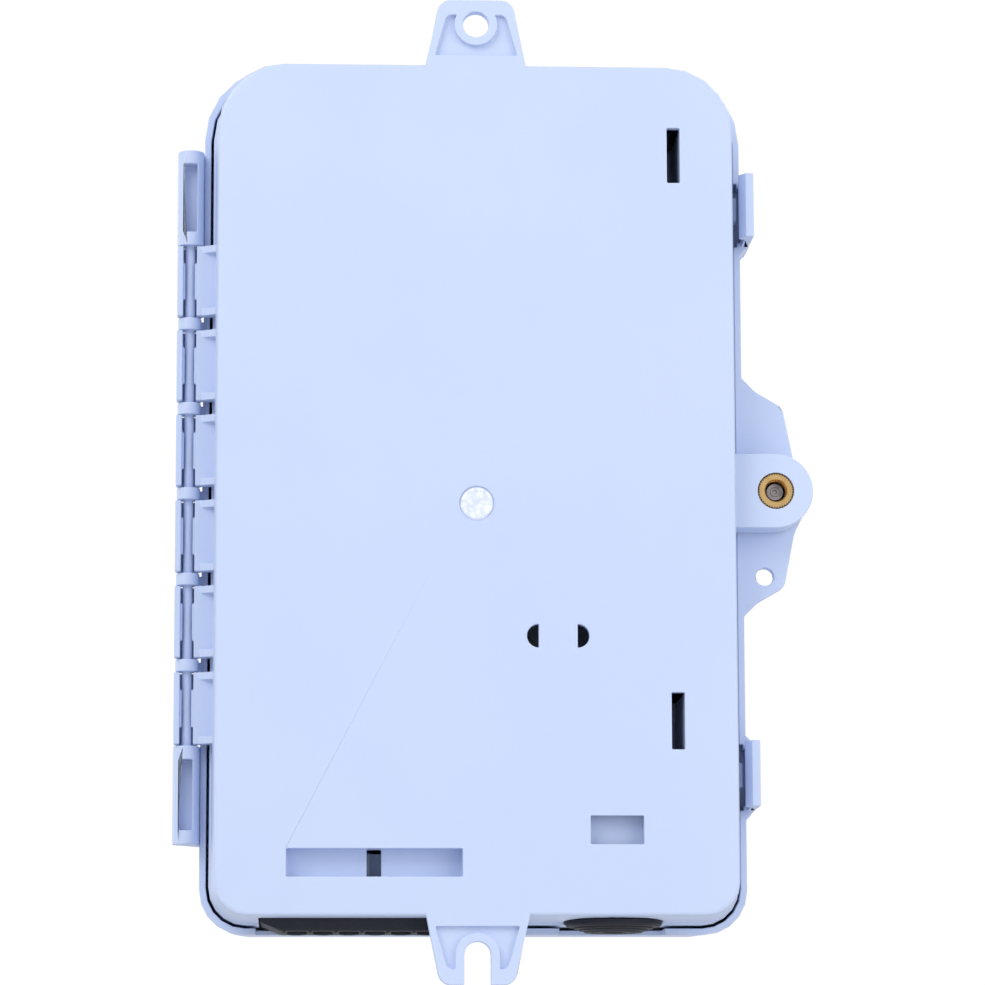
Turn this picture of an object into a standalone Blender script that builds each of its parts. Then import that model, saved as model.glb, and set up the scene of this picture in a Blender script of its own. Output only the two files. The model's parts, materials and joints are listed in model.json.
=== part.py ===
"""Fiber termination box: a wall box that joins one feeder cable to eight drop cables.

The frame: X to the hinge side, Z up, and the wall behind the box is the plane Y = 0.
Depths are measured from that wall towards the front, so a depth d lies at Y = -d.
"""
import math

import bmesh
import bpy
from mathutils import Matrix, Vector

MM = 0.001

# ---------------------------------------------------------------- driving dimensions
GAP = 0.3 * MM                  # left between two pieces that touch
ROUND_STEPS = 5                 # facets in a rounded corner

BASE_WIDTH = 110 * MM           # rear shell, at the wall
BASE_HEIGHT = 182 * MM
BASE_DEPTH = 24 * MM
RIM_BAND = 9.6 * MM             # height of the thicker band round the rear shell's rim
BASE_WALL = 2 * MM
BASE_DRAFT = 1.2 * MM           # how far the shell widens from the wall to its rim
TOP_CORNER = 14 * MM
BOTTOM_CORNER = 7 * MM
CORNER_GROWTH = 0.75            # how much a corner's radius grows with an outer wall
BACK_EDGE = 0.8 * MM            # rounding of the edge that lies on the wall

COVER_FRONT = 46 * MM           # overall depth of the closed box
COVER_WALL = 2.4 * MM
COVER_DRAFT = 1 * MM
COVER_EDGE = 3 * MM             # rounding of the front edge
SKIRT_START = 16 * MM           # depth of the skirt's free edge
SKIRT_CLEARANCE = 0.6 * MM      # between the rear shell's rim and the skirt
SKIRT_WALL = 1.4 * MM
SEAL_WIDTH = 2.2 * MM
SEAL_THICKNESS = 2 * MM
LABEL_SIZE = (62 * MM, 34 * MM)
LABEL_DEPTH = 0.5 * MM
LABEL_RISE = 38 * MM            # height of the plain label recess above the middle

TAB_THICKNESS = 2.8 * MM
TAB_ROOT = 11 * MM              # half width where a tab leaves the shell
TAB_TIP = 7.8 * MM              # half width at its end
TAB_REACH = 14.4 * MM
TAB_CORNER = 3 * MM
TAB_BORDER = 2.2 * MM           # width of the raised edge round the pocket
TAB_POCKET = 1.2 * MM
SCREW_HOLE = 2.8 * MM           # radius of the hanging hole and slot
HOLE_RISE = 9 * MM              # hole centre above the shell
SLOT_RISE = 8.15 * MM           # slot centre below it
HOLE_RIM = 1.85 * MM            # width of the raised ring

ROD_RADIUS = 1.05 * MM          # the cover's hinge rod
ROD_OFFSET = 6.1 * MM           # rod centre outside the rear shell
ROD_DEPTH = 14 * MM
HINGE_MIDDLE = -0.5 * MM        # height of the hinge's centre
HINGE_PITCH = 18.45 * MM
CLIP_COUNT = 6
CLIP_PLAY = 0.4 * MM            # between the rod and a clip
CLIP_WALL = 1.25 * MM
CLIP_LIP = 2.6 * MM             # length of the clip's straight lips behind the rod
CLIP_BEAD = 8 * MM
RING_RADIUS = 2.5 * MM
RING_HEIGHT = 2.6 * MM
BOSS_RADIUS = 2.85 * MM
BOSS_LENGTH = 20.8 * MM
BOSS_WINDOW = (1.4 * MM, 15 * MM)       # half width and height of the recess in a boss

EAR_OFFSET = 9.4 * MM           # bolt centre outside the rear shell
EAR_RADIUS = 8 * MM
EAR_START = 7.4 * MM            # depth of the ear's face
INSERT_RADIUS = 3.6 * MM
INSERT_TEETH = 24
INSERT_KNURL = 0.25 * MM
BOLT_RADIUS = 1.9 * MM
BOLT_TIP = 9.5 * MM             # depth of the bolt's end
BOLT_HEAD = (4.2 * MM, 4 * MM)  # radius and height
BOLT_SOCKET = (1.9 * MM, 2.4 * MM)
WASHER_RADIUS = 4.7 * MM
WASHER_THICKNESS = 1 * MM
FLANGE_THICKNESS = 3 * MM
BOLT_CUP_RADIUS = 7 * MM
BOLT_CUP_FRONT = 33 * MM
BOLT_SEAT = 25.5 * MM           # depth of the cup's floor
PADLOCK_HOLE = 1.95 * MM
PADLOCK_DROP = 17.4 * MM
PADLOCK_INSET = 1.6 * MM        # nearer the shell than the bolt

LATCH_INSETS = (29 * MM, 30.3 * MM)     # from the shell's top and from its foot
LATCH_LENGTH = 14 * MM
LATCH_WALL = 1.7 * MM
LATCH_TIP = 5 * MM              # depth of the latch's free end
CATCH_LENGTH = 5.1 * MM
CATCH_REACH = 1.3 * MM
CATCH_START = 10 * MM

ENTRY_COUNT = 8
ENTRY_PITCH = 5.45 * MM
ENTRY_INSET = 9.8 * MM          # grommet's end inside the shell's hinge side
ENTRY_END = 7.7 * MM            # from the grommet's end to its first entry
ENTRY_CHAMFER = (4.4 * MM, 1.1 * MM)    # length of the sloped end, and where it starts
ENTRY_START = 5 * MM
ENTRY_DEEP = 23.7 * MM
ENTRY_FLANGE = 1.4 * MM
NIPPLE_RADIUS = 2.1 * MM
NIPPLE_LENGTH = 0.6 * MM
NIPPLE_DIMPLE = 1.2 * MM
GROMMET_DROP = 2.9 * MM         # how far it hangs below the shell
FEEDER_INSET = 25.7 * MM        # gland centre inside the lock side
FEEDER_DEPTH = 13 * MM
GLAND_FLANGE = 10.2 * MM
GLAND_NECK = 8 * MM
GLAND_TIP = 6.3 * MM
NOTCH_CLEARANCE = 1 * MM        # skirt notch round the rubber

GATE_RADIUS = 3.7 * MM
GATE_DROP = 4.2 * MM
TIE_RADIUS = 2.5 * MM
TIE_BRIDGE = 8.2 * MM           # the bar that a cable tie goes round
TIE_PLACE = (-17.1 * MM, -32.3 * MM)
WINDOW_HEIGHT = 5.9 * MM
WINDOW_RISE = 8.1 * MM          # lower edge above the shell's lower edge
WINDOW_INSETS = (51.9 * MM, 15.1 * MM)  # its two ends inside the hinge side
BED_DEPTH = 5 * MM              # underside of the cable bed over the window
BED_THICKNESS = 1.5 * MM
BED_WALL = 1.2 * MM
BED_SLOT = 3.1 * MM             # slot across the bed's middle
CRADLE_HALF = 5.6 * MM
CRADLE_RISE = 14.9 * MM
CRADLE_WINDOW = 6 * MM
CRADLE_FLOOR = 4.2 * MM         # underside of the trough over its window

HOOK_SLOT = 2.8 * MM
HOOK_INSET = 11.3 * MM          # slot's outer edge inside the lock side
HOOK_ENDS = (19.5 * MM, 40.8 * MM)      # from the shell's top and from its foot
HOOK_LENGTH = 12 * MM
HOOK_STEM = 2 * MM

TRAY_DEPTH = 19 * MM            # depth of the tray's back
TRAY_THICKNESS = 2 * MM
TRAY_TOP_INSET = 11 * MM
TRAY_BOTTOM_INSET = 29 * MM
TRAY_RIM = 5 * MM
TRAY_RIM_WALL = 1.6 * MM
TRAY_RIM_RISE = 85 * MM         # where the rim ends, above the shell's foot
PIVOT_INSET = 6 * MM            # tray axis inside the hinge side
PIVOT_RADIUS = 1.5 * MM
KNUCKLE_RADIUS = 2.4 * MM
KNUCKLE_LENGTH = 8 * MM
KNUCKLE_INSETS = (29 * MM, 49 * MM)
PIVOT_EAR = 3 * MM
DRUM_RADIUS = 12 * MM
DRUM_WALL = 1.5 * MM
DRUM_HEIGHT = 6 * MM
DRUM_DROPS = (73 * MM, 39 * MM) # below the shell's top
DRUM_X = 9 * MM

ADAPTER_WIDTH = 9.3 * MM
ADAPTER_DEEP = 12.8 * MM
ADAPTER_LENGTH = 28 * MM
ADAPTER_PITCH = 10.4 * MM
ADAPTER_MIDDLE = 2.8 * MM
ADAPTER_RISE = 57 * MM          # their panel, above the shell's foot
ADAPTER_LIFT = 3 * MM           # above the tray
ADAPTER_LIP = 1.6 * MM
ADAPTER_WALL = 0.9 * MM
SOCKET_DEPTH = 11 * MM
PANEL_THICKNESS = 1.8 * MM
CAP_PLUG = 7 * MM
CAP_HEAD = 3 * MM

HOLDER_SLOTS = 6
HOLDER_PITCH = 3.2 * MM
HOLDER_SLOT = 1.1 * MM          # half width of a sleeve slot
HOLDER_LENGTH = 46 * MM
HOLDER_HEIGHT = 6.5 * MM
HOLDER_X = -26 * MM
HOLDER_DROP = 57 * MM           # its middle, below the shell's top
SPLITTER_SIZE = (7 * MM, 4 * MM, 60 * MM)
SPLITTER_X = 34 * MM
SPLITTER_DROP = 59 * MM

CLAMP_DEPTH = 9.8 * MM          # back of the drop clamp bar
CLAMP_THICKNESS = 3 * MM
CLAMP_WIDTH = 5 * MM
CLAMP_POST_OUT = 3.2 * MM       # screw post beyond the window's end
POST_RADIUS = 2.8 * MM
SADDLE_DEPTH = 13.3 * MM
SADDLE_BORE = 4.4 * MM
SADDLE_WALL = 1.8 * MM
SADDLE_WIDTH = 5.6 * MM
SADDLE_SCREW = 9.8 * MM
SCREW_SHANK = 1.2 * MM
SCREW_HEAD = (2.5 * MM, 1.8 * MM)
SCREW_BITE = 6 * MM

# ---------------------------------------------------------------- sizes that follow
HALF_WIDTH = BASE_WIDTH / 2
HALF_HEIGHT = BASE_HEIGHT / 2
SKIRT_GROW = BASE_DRAFT + SKIRT_CLEARANCE
SKIRT_OUTER = SKIRT_GROW + SKIRT_WALL
ROD_X = HALF_WIDTH + ROD_OFFSET
BOLT_X = -HALF_WIDTH - EAR_OFFSET
CLIP_BORE = ROD_RADIUS + CLIP_PLAY
INSERT_BORE = BOLT_RADIUS + GAP
LATCH_HEIGHTS = (HALF_HEIGHT - LATCH_INSETS[0], LATCH_INSETS[1] - HALF_HEIGHT)
HOOK_HEIGHTS = (HALF_HEIGHT - HOOK_ENDS[0], HOOK_ENDS[1] - HALF_HEIGHT)
KNUCKLE_HEIGHTS = (HALF_HEIGHT - KNUCKLE_INSETS[0], KNUCKLE_INSETS[1] - HALF_HEIGHT)
TRAY_RIM_FOOT = TRAY_RIM_RISE - HALF_HEIGHT
DRUM_HEIGHTS = (HALF_HEIGHT - DRUM_DROPS[0], HALF_HEIGHT - DRUM_DROPS[1])
ADAPTER_HEIGHT = ADAPTER_RISE - HALF_HEIGHT
HOLDER_PLACE = (HOLDER_X, HALF_HEIGHT - HOLDER_DROP)
SPLITTER_PLACE = (SPLITTER_X, HALF_HEIGHT - SPLITTER_DROP)
BOSS_INNER = HINGE_PITCH * CLIP_COUNT / 2 - RING_HEIGHT / 2
SEAL_START = BASE_DEPTH + GAP
SEAL_STEP = SEAL_START + SEAL_THICKNESS + GAP
GROMMET_HIGH_X = HALF_WIDTH - ENTRY_INSET
GROMMET_LOW_X = GROMMET_HIGH_X - 2 * ENTRY_END - (ENTRY_COUNT - 1) * ENTRY_PITCH
GROMMET_BOTTOM = -HALF_HEIGHT - GROMMET_DROP
FEEDER_X = -HALF_WIDTH + FEEDER_INSET
PIVOT_X = HALF_WIDTH - PIVOT_INSET
PIVOT_DEPTH = TRAY_DEPTH + TRAY_THICKNESS / 2
HOOK_X = -HALF_WIDTH + HOOK_INSET
TRAY_LOW_X = HOOK_X + HOOK_SLOT + GAP
TRAY_HIGH_X = PIVOT_X - KNUCKLE_RADIUS - 4 * GAP
TRAY_TOP = HALF_HEIGHT - TRAY_TOP_INSET
TRAY_BOTTOM = -HALF_HEIGHT + TRAY_BOTTOM_INSET
TRAY_FACE = TRAY_DEPTH + TRAY_THICKNESS
WINDOW_BOTTOM = -HALF_HEIGHT + WINDOW_RISE
CLAMP_Z = WINDOW_BOTTOM + WINDOW_HEIGHT / 2
CRADLE_Z = -HALF_HEIGHT + CRADLE_RISE + CRADLE_WINDOW / 2
WINDOW_LOW_X = HALF_WIDTH - WINDOW_INSETS[0]
WINDOW_HIGH_X = HALF_WIDTH - WINDOW_INSETS[1]
CLAMP_SCREWS = (WINDOW_LOW_X - CLAMP_POST_OUT, WINDOW_HIGH_X + CLAMP_POST_OUT)
ADAPTER_BACK = TRAY_FACE + ADAPTER_LIFT
PANEL_TOP = ADAPTER_BACK + ADAPTER_DEEP + ADAPTER_LIP

SHELL_BLUE = (0.60, 0.69, 0.86)
INNER_BLUE = (0.66, 0.73, 0.86)
RUBBER = (0.02, 0.02, 0.024)
BRASS = (0.72, 0.48, 0.22)
STEEL = (0.55, 0.56, 0.58)
ADAPTER_GREEN = (0.05, 0.36, 0.12)
CAP_WHITE = (0.80, 0.82, 0.84)


# ---------------------------------------------------------------- tools
for old in list(bpy.data.objects):
    bpy.data.objects.remove(old, do_unlink=True)

parts = bpy.data.collections.new("fiber_termination_box")
cutters = bpy.data.collections.new("cutters")
bpy.context.scene.collection.children.link(parts)
bpy.context.scene.collection.children.link(cutters)

# A shape is drawn in two coordinates (u, v) and runs along a third, t.
#   "Y": u is X, v is Z and t is the depth
#   "Z": u is X, v is the depth and t is Z
FRAMES = {
    "Y": Matrix(((1, 0, 0, 0), (0, 0, -1, 0), (0, 1, 0, 0), (0, 0, 0, 1))),
    "Z": Matrix(((1, 0, 0, 0), (0, -1, 0, 0), (0, 0, 1, 0), (0, 0, 0, 1))),
}


def arc(centre, radius, start, stop, steps=8):
    """Points on a circle from one angle to another, in degrees."""
    points = []
    for step in range(steps + 1):
        angle = math.radians(start + (stop - start) * step / steps)
        points.append((centre[0] + radius * math.cos(angle), centre[1] + radius * math.sin(angle)))
    return points


def rounded(corners, steps=ROUND_STEPS):
    """An outline through corners (u, v, radius), each turned into an arc of its radius."""
    points = []
    for index, (u, v, radius) in enumerate(corners):
        here = Vector((u, v))
        if radius == 0:
            points.append((u, v))
            continue
        before = (Vector(corners[index - 1][:2]) - here).normalized()
        after = (Vector(corners[(index + 1) % len(corners)][:2]) - here).normalized()
        half = before.angle(after) / 2
        centre = here + (before + after).normalized() * radius / math.sin(half)
        first = here + before * radius / math.tan(half) - centre
        last = here + after * radius / math.tan(half) - centre
        sweep = math.atan2(first.cross(last), first.dot(last))
        for step in range(steps + 1):
            point = centre + Matrix.Rotation(sweep * step / steps, 2) @ first
            points.append((point.x, point.y))
    return points


def rectangle(u_low, u_high, v_low, v_high, radius=0.0):
    """A rectangle's outline, with every corner rounded alike."""
    corners = ((u_low, v_low), (u_high, v_low), (u_high, v_high), (u_low, v_high))
    return rounded([(u, v, radius) for u, v in corners])


def shell_outline(grow):
    """The box's outline, grown all round from the rear shell's back face."""
    wide = HALF_WIDTH + grow
    high = HALF_HEIGHT + grow
    top = TOP_CORNER + CORNER_GROWTH * grow
    bottom = BOTTOM_CORNER + CORNER_GROWTH * grow
    return rounded([(-wide, -high, bottom), (wide, -high, bottom), (wide, high, top), (-wide, high, top)])


def add(name, mesh, collection=cutters):
    """An object for a mesh, in the model or among the cutters."""
    shape = bpy.data.objects.new(name, mesh)
    collection.objects.link(shape)
    return shape


def prism(name, outlines, low, high, axis="Y"):
    """A flat outline, with any further outlines as its holes, extruded from low to high."""
    curve = bpy.data.curves.new(name, "CURVE")
    curve.dimensions = "2D"
    curve.fill_mode = "BOTH"
    curve.extrude = (high - low) / 2
    for outline in outlines:
        spline = curve.splines.new("POLY")
        spline.points.add(len(outline) - 1)
        for point, (u, v) in zip(spline.points, outline):
            point.co = (u, v, 0, 1)
        spline.use_cyclic_u = True
    drawn = bpy.data.objects.new(name, curve)
    cutters.objects.link(drawn)
    bpy.context.view_layer.update()
    evaluated = drawn.evaluated_get(bpy.context.evaluated_depsgraph_get())
    mesh = bpy.data.meshes.new_from_object(evaluated)
    bpy.data.objects.remove(drawn)
    mesh.transform(FRAMES[axis] @ Matrix.Translation((0, 0, (low + high) / 2)))
    tidy(mesh)
    return add(name, mesh)


def tidy(mesh):
    """Weld an extruded outline's caps, and turn its faces outwards."""
    work = bmesh.new()
    work.from_mesh(mesh)
    bmesh.ops.remove_doubles(work, verts=work.verts, dist=0.00001)
    bmesh.ops.dissolve_limit(work, angle_limit=0.001, verts=work.verts, edges=work.edges)
    bmesh.ops.recalc_face_normals(work, faces=work.faces)
    work.to_mesh(mesh)
    work.free()


def cylinder(name, centre, radius, low, high, axis="Y", sides=24):
    """A round bar about centre (u, v), from low to high."""
    work = bmesh.new()
    middle = Matrix.Translation((centre[0], centre[1], (low + high) / 2))
    bmesh.ops.create_cone(work, cap_ends=True, segments=sides, radius1=radius, radius2=radius,
                          depth=high - low, matrix=middle)
    bmesh.ops.transform(work, matrix=FRAMES[axis], verts=work.verts)
    bmesh.ops.recalc_face_normals(work, faces=work.faces)
    mesh = bpy.data.meshes.new(name)
    work.to_mesh(mesh)
    work.free()
    return add(name, mesh)


def box(name, u_low, u_high, v_low, v_high, low, high, axis="Y"):
    """A plain block."""
    return prism(name, [rectangle(u_low, u_high, v_low, v_high)], low, high, axis)


def widen(shape, depth, grow):
    """Give a block draft: its outline at one depth grows all round."""
    for vertex in shape.data.vertices:
        if abs(vertex.co.y + depth) < 0.00001:
            vertex.co.x *= 1 + grow / HALF_WIDTH
            vertex.co.z *= 1 + grow / HALF_HEIGHT


def round_edge(shape, depth, width, steps):
    """Round the edge all the way round a block's face at one depth."""
    work = bmesh.new()
    work.from_mesh(shape.data)
    edges = [edge for edge in work.edges
             if all(abs(vertex.co.y + depth) < 0.00001 for vertex in edge.verts)]
    bmesh.ops.bevel(work, geom=edges, offset=width, segments=steps, profile=0.5, affect="EDGES")
    bmesh.ops.recalc_face_normals(work, faces=work.faces)
    work.to_mesh(shape.data)
    work.free()


def boolean(target, tool, operation):
    """Cut a tool out of a target, or join it on."""
    modifier = target.modifiers.new(tool.name, "BOOLEAN")
    modifier.operation = operation
    modifier.solver = "EXACT"
    modifier.object = tool
    tool.hide_render = True
    tool.display_type = "WIRE"


def cut(target, *tools):
    for tool in tools:
        boolean(target, tool, "DIFFERENCE")


def join(target, *tools):
    for tool in tools:
        boolean(target, tool, "UNION")


def settled(shape):
    """A shape's mesh with its cuts and joins made; the shape and its tools are removed."""
    bpy.context.view_layer.update()
    evaluated = shape.evaluated_get(bpy.context.evaluated_depsgraph_get())
    mesh = bpy.data.meshes.new_from_object(evaluated)
    for tool in [modifier.object for modifier in shape.modifiers]:
        bpy.data.objects.remove(tool)
    bpy.data.objects.remove(shape)
    return mesh


def copies(name, mesh, moves):
    """One object holding a copy of a mesh at every move."""
    work = bmesh.new()
    for move in moves:
        copy = mesh.copy()
        copy.transform(Matrix.Translation(move))
        work.from_mesh(copy)
        bpy.data.meshes.remove(copy)
    joined = bpy.data.meshes.new(name)
    work.to_mesh(joined)
    work.free()
    return add(name, joined)


def finish(shape, colour, roughness=0.45, metallic=0.0):
    """Put a finished shape in the model, with a material of its own."""
    cutters.objects.unlink(shape)
    parts.objects.link(shape)
    material = bpy.data.materials.new(shape.name)
    material.use_nodes = True
    surface = material.node_tree.nodes["Principled BSDF"]
    surface.inputs["Base Color"].default_value = (*colour, 1)
    surface.inputs["Roughness"].default_value = roughness
    surface.inputs["Metallic"].default_value = metallic
    shape.data.materials.clear()
    shape.data.materials.append(material)
    return shape


# ---------------------------------------------------------------- rear shell
def tab_outline(sign, border):
    """A hanging tab's tapered outline, or its pocket's where a border is left."""
    foot = HALF_HEIGHT - 1.5 * MM if border == 0 else HALF_HEIGHT + border
    end = HALF_HEIGHT + (TAB_REACH if border == 0 else TAB_REACH - 1.5 * border)
    root = TAB_ROOT - border
    tip = TAB_TIP - 0.7 * border
    corner = TAB_CORNER if border == 0 else TAB_CORNER / 2
    return rounded([(root, sign * foot, 0), (tip, sign * end, corner),
                    (-tip, sign * end, corner), (-root, sign * foot, 0)])


def add_tab(base, sign, rise, slotted):
    """A hanging tab: tapered plate, shallow pocket, and a raised ring round the hole or slot."""
    centre = (0, sign * (HALF_HEIGHT + rise))
    ring = SCREW_HOLE + HOLE_RIM
    join(base, prism("tab", [tab_outline(sign, 0)], 0, TAB_THICKNESS))
    cut(base, prism("tab_pocket", [tab_outline(sign, TAB_BORDER)], -MM, TAB_POCKET))
    if slotted:
        end = -HALF_HEIGHT - TAB_REACH
        ridge = [(ring, end), *arc(centre, ring, 0, 180, 12), (-ring, end)]
        slot = [(SCREW_HOLE, end - MM), *arc(centre, SCREW_HOLE, 0, 180, 12), (-SCREW_HOLE, end - MM)]
        join(base, prism("slot_ridge", [ridge], 0, TAB_THICKNESS - 0.5 * MM))
        cut(base, prism("slot", [slot], -MM, TAB_THICKNESS + MM))
    else:
        join(base, cylinder("hole_ring", centre, ring, 0, TAB_THICKNESS - 0.5 * MM))
        cut(base, cylinder("hanging_hole", centre, SCREW_HOLE, -MM, TAB_THICKNESS + MM))


def hinge_clip():
    """One C-shaped clip, open to the wall, on an arm from the rear shell's side."""
    outer = CLIP_BORE + CLIP_WALL
    half = (HINGE_PITCH - RING_HEIGHT) / 2 - GAP
    axis = (ROD_X, ROD_DEPTH)
    back = ROD_DEPTH - CLIP_LIP
    wall = HALF_WIDTH - 0.8 * MM
    arm_back = back - 2.6 * MM
    outline = [(ROD_X + outer, back), *arc(axis, outer, 0, 180, 10), (wall, ROD_DEPTH),
               (wall, arm_back), (ROD_X - outer, back), (ROD_X - CLIP_BORE, back),
               *arc(axis, CLIP_BORE, 180, 0, 10), (ROD_X + CLIP_BORE, back)]
    clip = prism("hinge_clip", [outline], -half, half, "Z")
    web = [(wall - MM, arm_back - MM), (ROD_X - outer, arm_back - MM), (ROD_X - outer, back),
           (wall - MM, back + 0.4 * MM)]
    rib = 1.6 * MM
    cut(clip, prism("clip_web", [web], -half + rib, half - rib, "Z"))
    for side in (-1, 1):
        root = ROD_X + side * (CLIP_BORE + 0.2 * MM)
        tip = ROD_X + side * (ROD_RADIUS - 0.15 * MM)
        bead = [(root, ROD_DEPTH - 1.2 * MM), (tip, ROD_DEPTH - 1.7 * MM), (root, ROD_DEPTH - 2.3 * MM)]
        join(clip, prism("clip_bead", [bead], -CLIP_BEAD / 2, CLIP_BEAD / 2, "Z"))
    return settled(clip)


def add_hinge_clips(base):
    first = HINGE_MIDDLE - HINGE_PITCH * (CLIP_COUNT - 1) / 2
    moves = [(0, 0, first + HINGE_PITCH * index) for index in range(CLIP_COUNT)]
    join(base, copies("hinge_clips", hinge_clip(), moves))


def add_lock_ear(base):
    ear = [(-HALF_WIDTH + MM, EAR_RADIUS), *arc((BOLT_X, 0), EAR_RADIUS, 90, 270, 16),
           (-HALF_WIDTH + MM, -EAR_RADIUS)]
    join(base, prism("lock_ear", [ear], EAR_START, SKIRT_START - GAP))
    bore = cylinder("insert_bore", (BOLT_X, 0), INSERT_RADIUS + GAP, EAR_START - MM, SKIRT_START, sides=32)
    cut(base, bore)


def add_catches(base):
    for height in LATCH_HEIGHTS:
        outer = -HALF_WIDTH - CATCH_REACH - 0.5 * MM
        catch = box("latch_catch", outer, -HALF_WIDTH + MM, height - CATCH_LENGTH / 2,
                    height + CATCH_LENGTH / 2, CATCH_START, CATCH_START + 4 * MM)
        join(base, catch)


def add_screw_post(base, x, z, top):
    join(base, cylinder("screw_post", (x, z), POST_RADIUS, BASE_WALL / 2, top))
    cut(base, cylinder("screw_bore", (x, z), SCREW_SHANK + GAP, top - SCREW_BITE, top + MM, sides=12))


def add_drop_clamp_seat(base):
    """The bed that the drop cables lie on, the window under it, and the clamp bar's two posts."""
    low, high = WINDOW_LOW_X, WINDOW_HIGH_X
    bottom, top = WINDOW_BOTTOM, WINDOW_BOTTOM + WINDOW_HEIGHT
    bed_top = BED_DEPTH + BED_THICKNESS
    join(base, box("cable_bed", low - BED_WALL, high + BED_WALL, bottom - BED_WALL, top + BED_WALL,
                   BASE_WALL / 2, bed_top))
    cut(base, box("clamp_window", low, high, bottom, top, -MM, BED_DEPTH))
    middle = (low + high) / 2
    cut(base, box("bed_slot", middle - BED_SLOT / 2, middle + BED_SLOT / 2, bottom, top,
                  BASE_WALL, bed_top + MM))
    for x in CLAMP_SCREWS:
        add_screw_post(base, x, CLAMP_Z, CLAMP_DEPTH - GAP)


def add_feeder_cradle(base):
    """A trough for the feeder cable over a window, between the saddle's two posts."""
    rim = SADDLE_DEPTH - GAP
    side = CRADLE_HALF + 2 * MM
    trough = SADDLE_BORE + 0.8 * MM
    outline = [(-side, BASE_WALL / 2), (-CRADLE_HALF, BASE_WALL / 2), (-CRADLE_HALF, CRADLE_FLOOR),
               (CRADLE_HALF, CRADLE_FLOOR), (CRADLE_HALF, BASE_WALL / 2), (side, BASE_WALL / 2), (side, rim),
               *arc((0, rim), trough, 0, -180, 12), (-side, rim)]
    outline = [(FEEDER_X + u, v) for u, v in outline]
    half = CRADLE_WINDOW / 2
    reach = half + BED_WALL
    join(base, prism("feeder_cradle", [outline], CRADLE_Z - reach, CRADLE_Z + reach, "Z"))
    for side in (-1, 1):
        add_screw_post(base, FEEDER_X + side * SADDLE_SCREW, CRADLE_Z, rim)
    cut(base, box("cradle_window", FEEDER_X - CRADLE_HALF, FEEDER_X + CRADLE_HALF, CRADLE_Z - half,
                  CRADLE_Z + half, -MM, BASE_WALL + MM))


def add_tray_hooks(base):
    """Snap hooks at the tray's free edge, each over the slot that its head is moulded through."""
    for height in HOOK_HEIGHTS:
        low = height - HOOK_LENGTH / 2
        high = height + HOOK_LENGTH / 2
        top = TRAY_FACE + 3.2 * MM
        hook = [(HOOK_X - HOOK_STEM, BASE_WALL / 2), (HOOK_X, BASE_WALL / 2), (HOOK_X, TRAY_FACE + GAP),
                (HOOK_X + HOOK_SLOT - GAP, TRAY_FACE + GAP), (HOOK_X, top), (HOOK_X - HOOK_STEM, top)]
        join(base, prism("tray_hook", [hook], low, high, "Z"))
        cut(base, box("hook_slot", HOOK_X, HOOK_X + HOOK_SLOT, low, high, -MM, BASE_WALL + MM))


def add_tray_supports(base):
    """Two pivot ears for the tray, and two posts under its free edge."""
    radius = PIVOT_RADIUS + GAP + MM
    ear = [(PIVOT_X - radius, BASE_WALL / 2), (PIVOT_X + radius, BASE_WALL / 2),
           *arc((PIVOT_X, PIVOT_DEPTH), radius, 0, 180, 12)]
    for height, side in zip(KNUCKLE_HEIGHTS, (1, -1)):
        near = height + side * (KNUCKLE_LENGTH / 2 + GAP)
        low, high = sorted((near, near + side * PIVOT_EAR))
        join(base, prism("pivot_ear", [ear], low, high, "Z"))
        centre = (PIVOT_X, PIVOT_DEPTH)
        cut(base, cylinder("pivot_bore", centre, PIVOT_RADIUS + GAP, low - MM, high + MM, "Z"))
        post = cylinder("tray_post", (TRAY_LOW_X + 5 * MM, height - 8 * MM), POST_RADIUS,
                        BASE_WALL / 2, TRAY_DEPTH - GAP, sides=16)
        join(base, post)


def cut_cable_notches(base):
    """The rim notch for the drop grommet and the round hole for the feeder gland."""
    cut(base, box("grommet_notch", GROMMET_LOW_X - GAP, GROMMET_HIGH_X + GAP, -HALF_HEIGHT - 4 * MM,
                  -HALF_HEIGHT + 3.2 * MM, ENTRY_START - GAP, BASE_DEPTH + MM))
    centre = (FEEDER_X, FEEDER_DEPTH)
    seat = -HALF_HEIGHT
    cut(base, cylinder("gland_seat", centre, GLAND_FLANGE + GAP, seat - 4 * MM, seat, "Z", 40))
    cut(base, cylinder("gland_hole", centre, GLAND_NECK + GAP, seat - 4 * MM, seat + 4 * MM, "Z", 40))


def cut_back_marks(base):
    """The gate recess, and the two half-round holes with the cable tie's bar between."""
    centre = (0, -GATE_DROP)
    cut(base, cylinder("gate_recess", centre, GATE_RADIUS, -MM, 0.6 * MM))
    x, z = TIE_PLACE
    for side in (-1, 1):
        start = x + side * TIE_BRIDGE / 2
        turn = 0 if side == 1 else 180
        half_moon = arc((start, z), TIE_RADIUS, turn - 90, turn + 90, 10)
        cut(base, prism("tie_hole", [half_moon], -MM, BASE_WALL + MM))


def make_base_shell():
    base = prism("base_shell", [shell_outline(0)], 0, BASE_DEPTH)
    widen(base, BASE_DEPTH, BASE_DRAFT)
    round_edge(base, 0, BACK_EDGE, 2)
    join(base, prism("rim_band", [shell_outline(BASE_DRAFT)], BASE_DEPTH - RIM_BAND, BASE_DEPTH))
    hollow = prism("base_hollow", [shell_outline(-BASE_WALL)], BASE_WALL, BASE_DEPTH + MM)
    widen(hollow, BASE_DEPTH + MM, BASE_DRAFT)
    cut(base, hollow)
    add_tab(base, 1, HOLE_RISE, slotted=False)
    add_tab(base, -1, SLOT_RISE, slotted=True)
    add_hinge_clips(base)
    add_lock_ear(base)
    add_catches(base)
    cut_cable_notches(base)
    cut_back_marks(base)
    add_drop_clamp_seat(base)
    add_feeder_cradle(base)
    add_tray_hooks(base)
    add_tray_supports(base)
    finish(base, SHELL_BLUE)


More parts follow.
